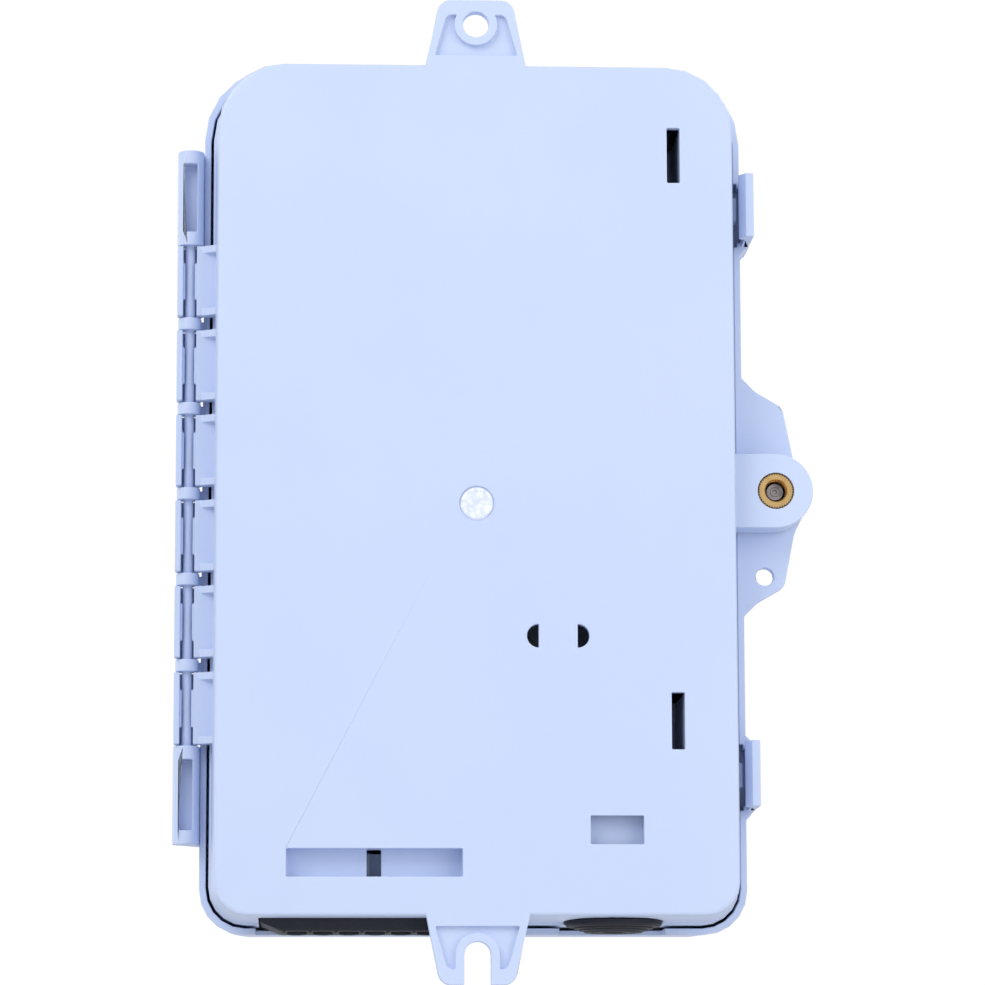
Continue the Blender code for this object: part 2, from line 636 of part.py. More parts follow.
# ---------------------------------------------------------------- front cover
def hinge_rod():
    """The rod, its five rings on short arms, and a boss at each end."""
    axis = (ROD_X, ROD_DEPTH)
    wall = HALF_WIDTH + SKIRT_GROW + 0.4 * MM
    edge = SKIRT_START + GAP
    reach = BOSS_INNER + BOSS_LENGTH
    rod = cylinder("hinge_rod", axis, ROD_RADIUS, HINGE_MIDDLE - reach + MM, HINGE_MIDDLE + reach - MM,
                   "Z", 16)
    arm = [(wall, edge), (wall, edge + 5 * MM), (ROD_X + 0.6 * MM, ROD_DEPTH + 2 * MM),
           (ROD_X + 0.6 * MM, ROD_DEPTH), (ROD_X - 1.2 * MM, ROD_DEPTH)]
    rings = []
    arms = []
    for index in range(CLIP_COUNT - 1):
        middle = HINGE_MIDDLE + HINGE_PITCH * (index - (CLIP_COUNT - 2) / 2)
        low = middle - RING_HEIGHT / 2
        rings.append(cylinder("rod_ring", axis, RING_RADIUS, low, low + RING_HEIGHT, "Z", 20))
        arms.append(prism("ring_arm", [arm], low + 0.4 * MM, low + RING_HEIGHT - 0.4 * MM, "Z"))
    join(rod, *rings, *arms)
    boss = [*arc(axis, BOSS_RADIUS, 180, 420, 14), (wall, ROD_DEPTH + 9 * MM), (wall, edge),
            (ROD_X - BOSS_RADIUS, edge)]
    half_window, window_height = BOSS_WINDOW
    for side in (-1, 1):
        near = HINGE_MIDDLE + side * BOSS_INNER
        low, high = sorted((near, near + side * BOSS_LENGTH))
        join(rod, prism("hinge_boss", [boss], low, high, "Z"))
        middle = (low + high) / 2
        recess = box("boss_window", ROD_X - half_window, ROD_X + half_window, middle - window_height / 2,
                     middle + window_height / 2, ROD_DEPTH - 2 * BOSS_RADIUS, ROD_DEPTH + 0.6 * MM)
        cut(rod, recess)
    return rod


def flange_outline():
    """The cover's lug behind the lock ear, and the padlock hole's side of it."""
    root = -HALF_WIDTH - SKIRT_GROW - 0.5 * MM
    high = 27 * MM
    upper = [(root, high, 0), (BOLT_X + 3.2 * MM, high - 4 * MM, 6 * MM),
             (BOLT_X - 2.6 * MM, 19.6 * MM, 2.5 * MM), (BOLT_X - 4.9 * MM, 8 * MM, 6 * MM),
             (BOLT_X - 7.4 * MM, 3 * MM, 3 * MM)]
    lower = [(u, -v, radius) for u, v, radius in reversed(upper)]
    return rounded(upper + lower)


def add_lock_lug(cover):
    """The lug with the bolt's cup on it."""
    root = -HALF_WIDTH - SKIRT_GROW - 0.5 * MM
    join(cover, prism("lock_lug", [flange_outline()], SKIRT_START, SKIRT_START + FLANGE_THICKNESS))
    cup = [(root, BOLT_CUP_RADIUS), *arc((BOLT_X, 0), BOLT_CUP_RADIUS, 90, 270, 16),
           (root, -BOLT_CUP_RADIUS)]
    join(cover, prism("bolt_cup", [cup], SKIRT_START + MM, BOLT_CUP_FRONT))
    cut(cover, cylinder("bolt_bore", (BOLT_X, 0), BOLT_RADIUS + GAP, SKIRT_START - MM, BOLT_SEAT + MM))
    recess = cylinder("head_recess", (BOLT_X, 0), WASHER_RADIUS + GAP, BOLT_SEAT, BOLT_CUP_FRONT + MM,
                      sides=32)
    cut(cover, recess)
    hole = (BOLT_X + PADLOCK_INSET, -PADLOCK_DROP)
    front = SKIRT_START + 2 * FLANGE_THICKNESS
    cut(cover, cylinder("padlock_hole", hole, PADLOCK_HOLE, SKIRT_START - MM, front))


def add_latches(cover):
    """Two spring arms that reach back past the skirt, which is cut away beside them."""
    skirt = -HALF_WIDTH - SKIRT_OUTER
    inner = skirt - 0.2 * MM
    outer = inner - LATCH_WALL
    inside = skirt + 0.6 * MM
    bead = -HALF_WIDTH - CATCH_REACH - 0.5 * MM - GAP
    arm = [(outer, LATCH_TIP), (outer, SKIRT_START + 11 * MM), (inside, SKIRT_START + 15 * MM),
           (inside, SKIRT_START + 4 * MM), (inner, SKIRT_START + 4 * MM), (inner, LATCH_TIP + 4 * MM),
           (bead, LATCH_TIP + 3 * MM), (bead, LATCH_TIP + 2 * MM), (inner, LATCH_TIP)]
    for height in LATCH_HEIGHTS:
        low = height - LATCH_LENGTH / 2
        high = height + LATCH_LENGTH / 2
        cut(cover, box("latch_relief", inner - MM, -HALF_WIDTH - SKIRT_GROW + MM, low, high,
                       SKIRT_START - MM, SKIRT_START + 4 * MM))
        join(cover, prism("latch_arm", [arm], low, high, "Z"))
        for edge, side in ((low, -1), (high, 1)):
            gusset = [(inside, edge - side * MM), (outer, edge - side * MM), (outer, edge - side * 0.2 * MM),
                      (outer + 0.8 * MM, edge + side * 0.9 * MM), (inside, edge + side * 2.8 * MM)]
            join(cover, prism("latch_gusset", [gusset], SKIRT_START, SKIRT_START + 11 * MM))


def cut_skirt_notches(cover):
    """Room in the skirt's lower side for the grommet and the gland."""
    top = BASE_DEPTH + 0.2 * MM
    spans = ((GROMMET_LOW_X, GROMMET_HIGH_X), (FEEDER_X - GLAND_FLANGE, FEEDER_X + GLAND_FLANGE))
    for low, high in spans:
        cut(cover, box("skirt_notch", low - NOTCH_CLEARANCE, high + NOTCH_CLEARANCE, -HALF_HEIGHT - 6 * MM,
                       -HALF_HEIGHT - BASE_DRAFT, SKIRT_START - MM, top))


def make_front_cover():
    cover = prism("front_cover", [shell_outline(SKIRT_OUTER)], SKIRT_START, COVER_FRONT)
    widen(cover, COVER_FRONT, -COVER_DRAFT)
    round_edge(cover, COVER_FRONT, COVER_EDGE, 4)
    join(cover, hinge_rod())
    add_lock_lug(cover)
    add_latches(cover)
    cavity = SKIRT_OUTER - COVER_WALL - COVER_DRAFT / 2
    cut(cover, prism("skirt_bore", [shell_outline(SKIRT_GROW)], SKIRT_START - MM, SEAL_STEP))
    cut(cover, prism("cover_cavity", [shell_outline(cavity)], SEAL_STEP - MM, COVER_FRONT - COVER_WALL))
    cut_skirt_notches(cover)
    wide, high = LABEL_SIZE
    label = rectangle(-wide / 2, wide / 2, LABEL_RISE - high / 2, LABEL_RISE + high / 2, 3 * MM)
    cut(cover, prism("label_recess", [label], COVER_FRONT - LABEL_DEPTH, COVER_FRONT + MM))
    finish(cover, SHELL_BLUE)


def make_perimeter_seal():
    outer = SKIRT_GROW - GAP
    seal = prism("perimeter_seal", [shell_outline(outer), shell_outline(outer - SEAL_WIDTH)],
                 SEAL_START, SEAL_START + SEAL_THICKNESS)
    finish(seal, RUBBER, 0.8)


# ---------------------------------------------------------------- lock
def make_lock_insert():
    outline = []
    for tooth in range(INSERT_TEETH):
        for share, radius in ((0, INSERT_RADIUS), (0.5, INSERT_RADIUS - INSERT_KNURL)):
            angle = 2 * math.pi * (tooth + share) / INSERT_TEETH
            outline.append((BOLT_X + radius * math.cos(angle), radius * math.sin(angle)))
    bore = arc((BOLT_X, 0), INSERT_BORE, 0, 345, 23)
    insert = prism("lock_insert", [outline, bore], EAR_START, SKIRT_START - 2 * GAP)
    finish(insert, BRASS, 0.3, 1.0)


def make_lock_bolt():
    radius, height = BOLT_HEAD
    washer_low = BOLT_SEAT + GAP
    head_low = washer_low + WASHER_THICKNESS + GAP
    washer = cylinder("bolt_washer", (BOLT_X, 0), WASHER_RADIUS, washer_low, washer_low + WASHER_THICKNESS,
                      sides=32)
    cut(washer, cylinder("washer_bore", (BOLT_X, 0), BOLT_RADIUS + GAP, BOLT_SEAT, head_low))
    finish(washer, STEEL, 0.35, 1.0)
    bolt = cylinder("lock_bolt", (BOLT_X, 0), radius, head_low, head_low + height)
    join(bolt, cylinder("bolt_shank", (BOLT_X, 0), BOLT_RADIUS, BOLT_TIP, head_low + MM, sides=20))
    flat, deep = BOLT_SOCKET
    top = head_low + height
    cut(bolt, cylinder("hex_socket", (BOLT_X, 0), flat, top - deep, top + MM, sides=6))
    finish(bolt, STEEL, 0.3, 1.0)


# ---------------------------------------------------------------- rubber at the lower side
def make_drop_cable_grommet():
    """A strip with a nipple for every drop cable, and a flange inside the shell."""
    slope, start = ENTRY_CHAMFER
    flange_low = -HALF_HEIGHT + 3.2 * MM + GAP
    flange_high = flange_low + 2.6 * MM
    shoulder = -HALF_HEIGHT - start
    flange_edge = flange_low + 0.3 * MM     # the flange thins a little towards its ends
    low, high = GROMMET_LOW_X, GROMMET_HIGH_X
    outline = [(low + slope, GROMMET_BOTTOM), (high - slope, GROMMET_BOTTOM), (high, shoulder),
               (high, flange_low), (high + ENTRY_FLANGE, flange_edge), (high + ENTRY_FLANGE, flange_high),
               (low - ENTRY_FLANGE, flange_high), (low - ENTRY_FLANGE, flange_edge), (low, flange_low),
               (low, shoulder)]
    grommet = prism("drop_cable_grommet", [outline], ENTRY_START, ENTRY_DEEP)
    middle = (ENTRY_START + SKIRT_START) / 2
    moves = [(high - ENTRY_END - ENTRY_PITCH * index, -middle, GROMMET_BOTTOM)
             for index in range(ENTRY_COUNT)]
    nipple = cylinder("nipple", (0, 0), NIPPLE_RADIUS, -NIPPLE_LENGTH, 1.5 * MM, "Z", 16)
    dimple = cylinder("dimple", (0, 0), NIPPLE_DIMPLE, -2 * NIPPLE_LENGTH, 0.8 * MM, "Z", 12)
    join(grommet, copies("nipples", settled(nipple), moves))
    cut(grommet, copies("dimples", settled(dimple), moves))
    finish(grommet, RUBBER, 0.75)


def make_feeder_gland():
    """A turned gland: inner flange, neck in the shell's hole, outer flange and a tapered tip."""
    seat = -HALF_HEIGHT
    inner = seat + 2.2 * MM
    profile = [(0, inner + 1.2 * MM), (GLAND_NECK + 1.2 * MM, inner + 1.2 * MM),
               (GLAND_NECK + 1.2 * MM, inner), (GLAND_NECK, inner), (GLAND_NECK, seat - GAP),
               (GLAND_FLANGE, seat - GAP),
               (GLAND_FLANGE, seat - 1.7 * MM), (GLAND_TIP, GROMMET_BOTTOM), (2.4 * MM, GROMMET_BOTTOM),
               (1.6 * MM, GROMMET_BOTTOM + 1.2 * MM), (0, GROMMET_BOTTOM + 1.2 * MM)]
    mesh = bpy.data.meshes.new("feeder_gland")
    work = bmesh.new()
    line = [work.verts.new((radius, 0, height)) for radius, height in profile]
    for first, second in zip(line, line[1:]):
        work.edges.new((first, second))
    work.to_mesh(mesh)
    work.free()
    gland = add("feeder_gland", mesh)
    gland.location = (FEEDER_X, -FEEDER_DEPTH, 0)
    turn = gland.modifiers.new("turn", "SCREW")
    turn.steps = 40
    turn.render_steps = 40
    turn.use_merge_vertices = True
    turn.merge_threshold = 0.00005
    turn.use_normal_calculate = True
    finish(gland, RUBBER, 0.75)


# ---------------------------------------------------------------- cable clamps
def make_screw(name, x, z, seat):
    """A pan-head screw whose head rests on a clamp at a depth."""
    radius, height = SCREW_HEAD
    screw = cylinder(name, (x, z), radius, seat + GAP, seat + GAP + height, sides=20)
    join(screw, cylinder("shank", (x, z), SCREW_SHANK, seat - CLAMP_THICKNESS - 0.5 * SCREW_BITE,
                         seat + height / 2, sides=12))
    cut(screw, box("slot", x - 0.4 * MM, x + 0.4 * MM, z - 2 * radius, z + 2 * radius,
                   seat + GAP + 0.6 * height, seat + 2 * height))
    finish(screw, STEEL, 0.35, 1.0)


def make_drop_clamp():
    low, high = CLAMP_SCREWS
    outline = rectangle(low - POST_RADIUS, high + POST_RADIUS, CLAMP_Z - CLAMP_WIDTH / 2,
                        CLAMP_Z + CLAMP_WIDTH / 2, 1.5 * MM)
    holes = [arc((x, CLAMP_Z), SCREW_SHANK + GAP, 0, 330, 11) for x in CLAMP_SCREWS]
    bar = prism("drop_clamp_bar", [outline, *holes], CLAMP_DEPTH, CLAMP_DEPTH + CLAMP_THICKNESS)
    for index in range(ENTRY_COUNT - 1):
        groove = GROMMET_HIGH_X - ENTRY_END - ENTRY_PITCH * index
        cut(bar, cylinder("cable_groove", (groove, CLAMP_DEPTH), 1.1 * MM, CLAMP_Z - CLAMP_WIDTH,
                          CLAMP_Z + CLAMP_WIDTH, "Z", 12))
    finish(bar, SHELL_BLUE)
    for number, x in enumerate(CLAMP_SCREWS, 1):
        make_screw(f"drop_clamp_screw_{number}", x, CLAMP_Z, CLAMP_DEPTH + CLAMP_THICKNESS)


def make_feeder_clamp():
    outer = SADDLE_BORE + SADDLE_WALL
    foot = SADDLE_SCREW + POST_RADIUS
    top = SADDLE_DEPTH + SADDLE_WALL
    lean = math.degrees(math.asin(SADDLE_WALL / outer))
    centre = (FEEDER_X, SADDLE_DEPTH)
    outline = [(FEEDER_X - foot, SADDLE_DEPTH), *arc(centre, SADDLE_BORE, 180, 0, 12),
               (FEEDER_X + foot, SADDLE_DEPTH), (FEEDER_X + foot, top),
               *arc(centre, outer, lean, 180 - lean, 12), (FEEDER_X - foot, top)]
    half = SADDLE_WIDTH / 2
    saddle = prism("feeder_clamp", [outline], CRADLE_Z - half, CRADLE_Z + half, "Z")
    for number, side in enumerate((-1, 1), 1):
        x = FEEDER_X + side * SADDLE_SCREW
        hole = cylinder("saddle_hole", (x, CRADLE_Z), SCREW_SHANK + GAP, SADDLE_DEPTH - MM, top + MM, sides=12)
        cut(saddle, hole)
        make_screw(f"feeder_clamp_screw_{number}", x, CRADLE_Z, top)
    finish(saddle, SHELL_BLUE)


# ---------------------------------------------------------------- tray and what it carries
def add_tray_rim(tray):
    """A low wall round the fibre store, open at the bottom and set in at the pivot side."""
    low_x = TRAY_LOW_X
    high_x = TRAY_HIGH_X - 3 * MM
    outer = rounded([(low_x, TRAY_RIM_FOOT, 0), (low_x, TRAY_TOP, 4 * MM), (high_x, TRAY_TOP, 4 * MM),
                     (high_x, TRAY_RIM_FOOT, 0)])
    wall = TRAY_RIM_WALL
    inner = rounded([(high_x - wall, TRAY_RIM_FOOT, 0), (high_x - wall, TRAY_TOP - wall, 2.4 * MM),
                     (low_x + wall, TRAY_TOP - wall, 2.4 * MM), (low_x + wall, TRAY_RIM_FOOT, 0)])
    join(tray, prism("tray_rim", [outer + inner], TRAY_DEPTH + MM, TRAY_FACE + TRAY_RIM))


def add_knuckles(tray):
    """The tray's two knuckles, each with a stub that turns in an ear of the rear shell."""
    axis = (PIVOT_X, PIVOT_DEPTH)
    knuckle = [(TRAY_HIGH_X - MM, TRAY_FACE), (TRAY_HIGH_X - MM, TRAY_DEPTH),
               *arc(axis, KNUCKLE_RADIUS, -90, 90, 10)]
    for height, side in zip(KNUCKLE_HEIGHTS, (1, -1)):
        half = KNUCKLE_LENGTH / 2
        join(tray, prism("knuckle", [knuckle], height - half, height + half, "Z"))
        low, high = sorted((height, height + side * (half + PIVOT_EAR + MM)))
        join(tray, cylinder("pivot_stub", axis, PIVOT_RADIUS, low, high, "Z", 16))


def make_splice_tray():
    outline = rectangle(TRAY_LOW_X, TRAY_HIGH_X, TRAY_BOTTOM, TRAY_TOP, 4 * MM)
    tray = prism("splice_tray", [outline], TRAY_DEPTH, TRAY_FACE)
    add_tray_rim(tray)
    add_knuckles(tray)
    for height in DRUM_HEIGHTS:
        centre = (DRUM_X, height)
        rings = [arc(centre, radius, 0, 345, 23) for radius in (DRUM_RADIUS, DRUM_RADIUS - DRUM_WALL)]
        join(tray, prism("fibre_drum", rings, TRAY_DEPTH + MM, TRAY_FACE + DRUM_HEIGHT))
    x, z = SPLITTER_PLACE
    near = SPLITTER_SIZE[0] / 2 + GAP
    for side in (-1, 1):
        for rise in (-18 * MM, 18 * MM):
            low, high = sorted((x + side * near, x + side * (near + 1.2 * MM)))
            join(tray, box("splitter_post", low, high, z + rise - 4 * MM, z + rise + 4 * MM,
                           TRAY_DEPTH + MM, TRAY_FACE + SPLITTER_SIZE[1] + MM))
    finish(tray, INNER_BLUE)


def make_splice_holder():
    """A comb whose slots grip the splice sleeves."""
    x, z = HOLDER_PLACE
    half = HOLDER_PITCH * HOLDER_SLOTS / 2 + 0.5 * MM
    foot = TRAY_FACE + GAP
    top = foot + HOLDER_HEIGHT
    floor = foot + 1.6 * MM
    outline = [(x - half, foot), (x + half, foot), (x + half, top)]
    for index in range(HOLDER_SLOTS):
        middle = x + HOLDER_PITCH * ((HOLDER_SLOTS - 1) / 2 - index)
        outline += [(middle + HOLDER_SLOT, top), (middle + HOLDER_SLOT, floor),
                    (middle - HOLDER_SLOT, floor), (middle - HOLDER_SLOT, top)]
    outline.append((x - half, top))
    holder = prism("splice_holder", [outline], z - HOLDER_LENGTH / 2, z + HOLDER_LENGTH / 2, "Z")
    finish(holder, CAP_WHITE)


def make_splitter_module():
    wide, thick, long = SPLITTER_SIZE
    x, z = SPLITTER_PLACE
    foot = TRAY_FACE + GAP
    tube = prism("splitter_module", [rectangle(x - wide / 2, x + wide / 2, foot, foot + thick, MM)],
                 z - long / 2, z + long / 2, "Z")
    boot = rectangle(x - wide / 3, x + wide / 3, foot + 0.2 * thick, foot + 0.8 * thick, 0.6 * MM)
    join(tube, prism("splitter_boot", [boot], z - long / 2 - 4 * MM, z + long / 2 + 4 * MM, "Z"))
    finish(tube, STEEL, 0.3, 1.0)


def adapter_places():
    """The middle X of every adapter, from the lock side to the hinge side."""
    first = ADAPTER_MIDDLE - ADAPTER_PITCH * (ENTRY_COUNT - 1) / 2
    return [first + ADAPTER_PITCH * index for index in range(ENTRY_COUNT)]


def make_adapter_panel():
    """A rail across the tray with one square hole for each adapter."""
    edge = ADAPTER_PITCH * ENTRY_COUNT / 2 + GAP
    low, high = ADAPTER_MIDDLE - edge, ADAPTER_MIDDLE + edge
    foot = TRAY_FACE + GAP
    holes = [rectangle(x - ADAPTER_WIDTH / 2 - GAP, x + ADAPTER_WIDTH / 2 + GAP, ADAPTER_BACK - GAP,
                       ADAPTER_BACK + ADAPTER_DEEP + GAP) for x in adapter_places()]
    bottom = ADAPTER_HEIGHT - PANEL_THICKNESS / 2
    panel = prism("adapter_panel", [rectangle(low, high, foot, PANEL_TOP), *holes],
                  bottom, ADAPTER_HEIGHT + PANEL_THICKNESS / 2, "Z")
    join(panel, box("panel_foot", low, high, bottom - 6 * MM, bottom + 0.5 * PANEL_THICKNESS,
                    foot, foot + 1.8 * MM))
    finish(panel, INNER_BLUE)


def make_adapter(number, x):
    """One adapter: a square tube with a lip that rests on the panel, and a socket at either end."""
    half = ADAPTER_WIDTH / 2
    front = ADAPTER_BACK + ADAPTER_DEEP
    low = ADAPTER_HEIGHT - ADAPTER_LENGTH / 2
    high = ADAPTER_HEIGHT + ADAPTER_LENGTH / 2
    seat = ADAPTER_HEIGHT + PANEL_THICKNESS / 2 + GAP
    outline = rectangle(x - half, x + half, ADAPTER_BACK, front)
    adapter = prism(f"adapter_{number}", [outline], low, high, "Z")
    join(adapter, box("lip", x - half, x + half, seat, seat + ADAPTER_LIP, ADAPTER_BACK - ADAPTER_LIP,
                      front + ADAPTER_LIP))
    wall = ADAPTER_WALL
    socket = rectangle(x - half + wall, x + half - wall, ADAPTER_BACK + wall, front - wall)
    cut(adapter, prism("lower_socket", [socket], low - MM, low + SOCKET_DEPTH, "Z"))
    cut(adapter, prism("upper_socket", [socket], high - SOCKET_DEPTH, high + MM, "Z"))
    finish(adapter, ADAPTER_GREEN, 0.4)


def make_cap(name, x, side):
    """A dust cap: a plug in an adapter's socket and a head to pull it by."""
    half = ADAPTER_WIDTH / 2
    front = ADAPTER_BACK + ADAPTER_DEEP
    inset = ADAPTER_WALL + GAP
    end = ADAPTER_HEIGHT + side * ADAPTER_LENGTH / 2
    near = end + side * GAP
    plug_low, plug_high = sorted((end - side * CAP_PLUG, near + side * MM))
    head_low, head_high = sorted((near, near + side * CAP_HEAD))
    plug = rectangle(x - half + inset, x + half - inset, ADAPTER_BACK + inset, front - inset)
    bare = 0.4 * MM                         # the adapter's edge shows round the head
    head = rectangle(x - half + bare, x + half - bare, ADAPTER_BACK + bare, front - bare, 0.8 * MM)
    cap = prism(name, [head], head_low, head_high, "Z")
    join(cap, prism("plug", [plug], plug_low, plug_high, "Z"))
    finish(cap, CAP_WHITE, 0.35)


def make_adapters():
    for number, x in enumerate(adapter_places(), 1):
        make_adapter(number, x)
        make_cap(f"lower_cap_{number}", x, -1)
        make_cap(f"upper_cap_{number}", x, 1)


make_base_shell()
make_front_cover()
make_perimeter_seal()
make_lock_insert()
make_lock_bolt()
make_drop_cable_grommet()
make_feeder_gland()
make_drop_clamp()
make_feeder_clamp()
make_splice_tray()
make_splice_holder()
make_splitter_module()
make_adapter_panel()
make_adapters()
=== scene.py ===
# %% [markdown]
# # A fiber termination box
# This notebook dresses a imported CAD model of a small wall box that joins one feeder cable
# to eight drop cables. The CAD already holds every size and every joint. So each step here
# either takes a CAD piece and gives it the soft edges of a moulding, or models a piece again
# with the detail that the CAD left out. Nothing is moved: a piece is built where it belongs.

import json
import math

import bmesh
import bpy
from mathutils import Matrix, Vector


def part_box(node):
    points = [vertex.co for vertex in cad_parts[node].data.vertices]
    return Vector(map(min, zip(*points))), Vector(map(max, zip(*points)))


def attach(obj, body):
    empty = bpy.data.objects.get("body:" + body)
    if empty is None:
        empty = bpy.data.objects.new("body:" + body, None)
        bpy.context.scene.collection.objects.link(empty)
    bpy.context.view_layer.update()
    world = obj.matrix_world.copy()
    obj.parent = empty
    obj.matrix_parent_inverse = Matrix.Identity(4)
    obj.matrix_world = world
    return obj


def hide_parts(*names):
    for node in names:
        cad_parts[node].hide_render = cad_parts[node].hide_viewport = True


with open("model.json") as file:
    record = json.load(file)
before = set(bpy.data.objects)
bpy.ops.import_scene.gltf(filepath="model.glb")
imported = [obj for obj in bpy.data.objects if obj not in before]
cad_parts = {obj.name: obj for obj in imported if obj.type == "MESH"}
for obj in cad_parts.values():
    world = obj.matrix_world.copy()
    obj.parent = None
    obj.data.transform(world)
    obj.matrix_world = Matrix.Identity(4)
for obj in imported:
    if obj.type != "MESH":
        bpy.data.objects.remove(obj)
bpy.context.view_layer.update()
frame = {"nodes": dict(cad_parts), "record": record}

# %% [markdown]
# ## What the record knows
# The record says which body each node belongs to, so a new piece can look up the body that
# it should ride on. Blender works in metres here, and MM keeps the sizes easy to read.

# %% Bodies by node
MM = 0.001
WELD = 0.002 * MM               # points closer than this are one point
BODY_OF = {node: body
           for body, nodes in frame["record"]["behaviour"]["bodies"].items() for node in nodes}


# %% Picking things
def deselect():
    """Leave edit mode and select nothing, because an operator acts on all that is selected."""
    if bpy.context.object and bpy.context.object.mode == "EDIT":
        bpy.ops.object.mode_set(mode="OBJECT")
    bpy.ops.object.select_all(action="DESELECT")


def activate(piece):
    """Make one piece the selected and active one."""
    deselect()
    piece.select_set(True)
    bpy.context.view_layer.objects.active = piece


def edit(piece):
    """Open a piece in edit mode with nothing selected."""
    activate(piece)
    bpy.ops.object.mode_set(mode="EDIT")
    bpy.ops.mesh.select_all(action="DESELECT")


def pick(kind, test):
    """In edit mode, select only the faces, edges or vertices that pass a test."""
    bpy.ops.mesh.select_mode(type={"faces": "FACE", "edges": "EDGE", "verts": "VERT"}[kind])
    bpy.ops.mesh.select_all(action="DESELECT")
    work = bmesh.from_edit_mesh(bpy.context.object.data)
    found = [item for item in getattr(work, kind) if test(item)]
    for item in found:
        item.select_set(True)
    bmesh.update_edit_mesh(bpy.context.object.data)
    return len(found)


def middle(item):
    """The middle of an edge or a face."""
    return sum((vertex.co for vertex in item.verts), Vector()) / len(item.verts)


# %% Starting and copying pieces
def name_it(name):
    """Name the newest object and put its place into its mesh."""
    piece = bpy.context.object
    piece.name = name
    piece.data.name = name
    bpy.ops.object.transform_apply(location=True, rotation=True, scale=True)
    return piece


def block(name, low, high):
    """A box between two corners in metres."""
    deselect()
    bpy.ops.mesh.primitive_cube_add(size=1, location=(Vector(low) + Vector(high)) / 2)
    bpy.context.object.scale = Vector(high) - Vector(low)
    return name_it(name)


def copy_of(piece, name, move=(0, 0, 0), mirror_z=None):
    """A copy with its own mesh, moved, or turned over about a height."""
    twin = bpy.data.objects.new(name, piece.data.copy())
    bpy.context.scene.collection.objects.link(twin)
    if mirror_z is not None:
        turn = Matrix.Translation((0, 0, 2 * mirror_z)) @ Matrix.Scale(-1, 4, (0, 0, 1))
        twin.data.transform(turn)
        twin.data.flip_normals()
    twin.data.transform(Matrix.Translation(move))
    return twin


def gather(pieces, name):
    """Join pieces into one object; their shells may pass into each other."""
    activate(pieces[0])
    for piece in pieces[1:]:
        piece.select_set(True)
    bpy.ops.object.join()
    pieces[0].name = name
    pieces[0].data.name = name
    return pieces[0]


def carve(piece, tool):
    """Cut a tool out of a piece for good, and throw the tool away."""
    activate(piece)
    modifier = piece.modifiers.new("carve", "BOOLEAN")
    modifier.operation = "DIFFERENCE"
    modifier.solver = "EXACT"
    modifier.object = tool
    bpy.ops.object.modifier_apply(modifier="carve")
    bpy.data.objects.remove(tool)
    return piece


def round_off(piece, width, angle=30, segments=2):
    """Round every edge sharper than an angle, as a mould or a deburring brush leaves it."""
    activate(piece)
    modifier = piece.modifiers.new("round", "BEVEL")
    modifier.width = width
    modifier.segments = segments
    modifier.limit_method = "ANGLE"
    modifier.angle_limit = math.radians(angle)
    modifier.use_clamp_overlap = False
    modifier.miter_outer = "MITER_ARC"
    modifier.face_strength_mode = "FSTR_ALL"
    bpy.ops.object.modifier_apply(modifier="round")
    return piece


# %% [markdown]
# ## Turned pieces
# Screws, washers, glands and inserts are round, and a lathe or a round mould makes them. The
# quick way is a cylinder, but its flat ends and sharp edges look like a stand-in. Here one
# vertex is extruded along a profile of (radius, height) pairs, and the line is spun round.

# %% A lathe
AXES = {"Y": Vector((0, -1, 0)), "Z": Vector((0, 0, 1))}


def turned(name, profile, centre, axis="Y", steps=48):
    """Spin a profile in millimetres round an axis. Heights run to the front, or up."""
    along = AXES[axis]
    centre = Vector(centre)
    points = [centre + Vector((radius * MM, 0, 0)) + along * height * MM for radius, height in profile]
    deselect()
    bpy.ops.mesh.primitive_plane_add(size=MM, location=(0, 0, 0))
    piece = name_it(name)
    bpy.ops.object.mode_set(mode="EDIT")
    bpy.ops.mesh.select_mode(type="VERT")
    bpy.ops.mesh.select_all(action="SELECT")
    bpy.ops.mesh.merge(type="CENTER")
    bpy.ops.transform.translate(value=points[0])
    for before, point in zip(points, points[1:]):
        bpy.ops.mesh.extrude_vertices_move(TRANSFORM_OT_translate={"value": point - before})
    bpy.ops.mesh.select_all(action="SELECT")
    bpy.ops.mesh.spin(steps=steps, angle=math.tau, center=centre, axis=along)
    bpy.ops.mesh.select_all(action="SELECT")
    bpy.ops.mesh.remove_doubles(threshold=WELD)
    bpy.ops.mesh.normals_make_consistent(inside=False)
    bpy.ops.object.mode_set(mode="OBJECT")
    return piece


def thread(radius, depth, low, high, pitch):
    """The wavy part of a profile: ridges and valleys of a thread between two heights."""
    count = max(1, round(abs(high - low) / pitch))
    step = (high - low) / count
    wave = []
    for turn in range(count):
        start = low + step * turn
        wave += [(radius, start + 0.25 * step), (radius - depth, start + 0.6 * step),
                 (radius - depth, start + 0.7 * step)]
    return wave + [(radius, high)]


def every_other(vertex, centre, steps):
    """Whether a vertex is on an odd line of a piece turned about Y, for a knurl."""
    turn = math.atan2(vertex.co.z - centre.z, vertex.co.x - centre.x) / math.tau
    return round(turn * steps) % 2 == 1


# %% [markdown]
# ## Shader sums
# A material's wear, grain and colour drift are sums of masks. Wiring each Math node by hand
# hides what is being worked out, so one small class wraps a socket: a sum written in Python
# adds its Math nodes, and one method adds any other node.

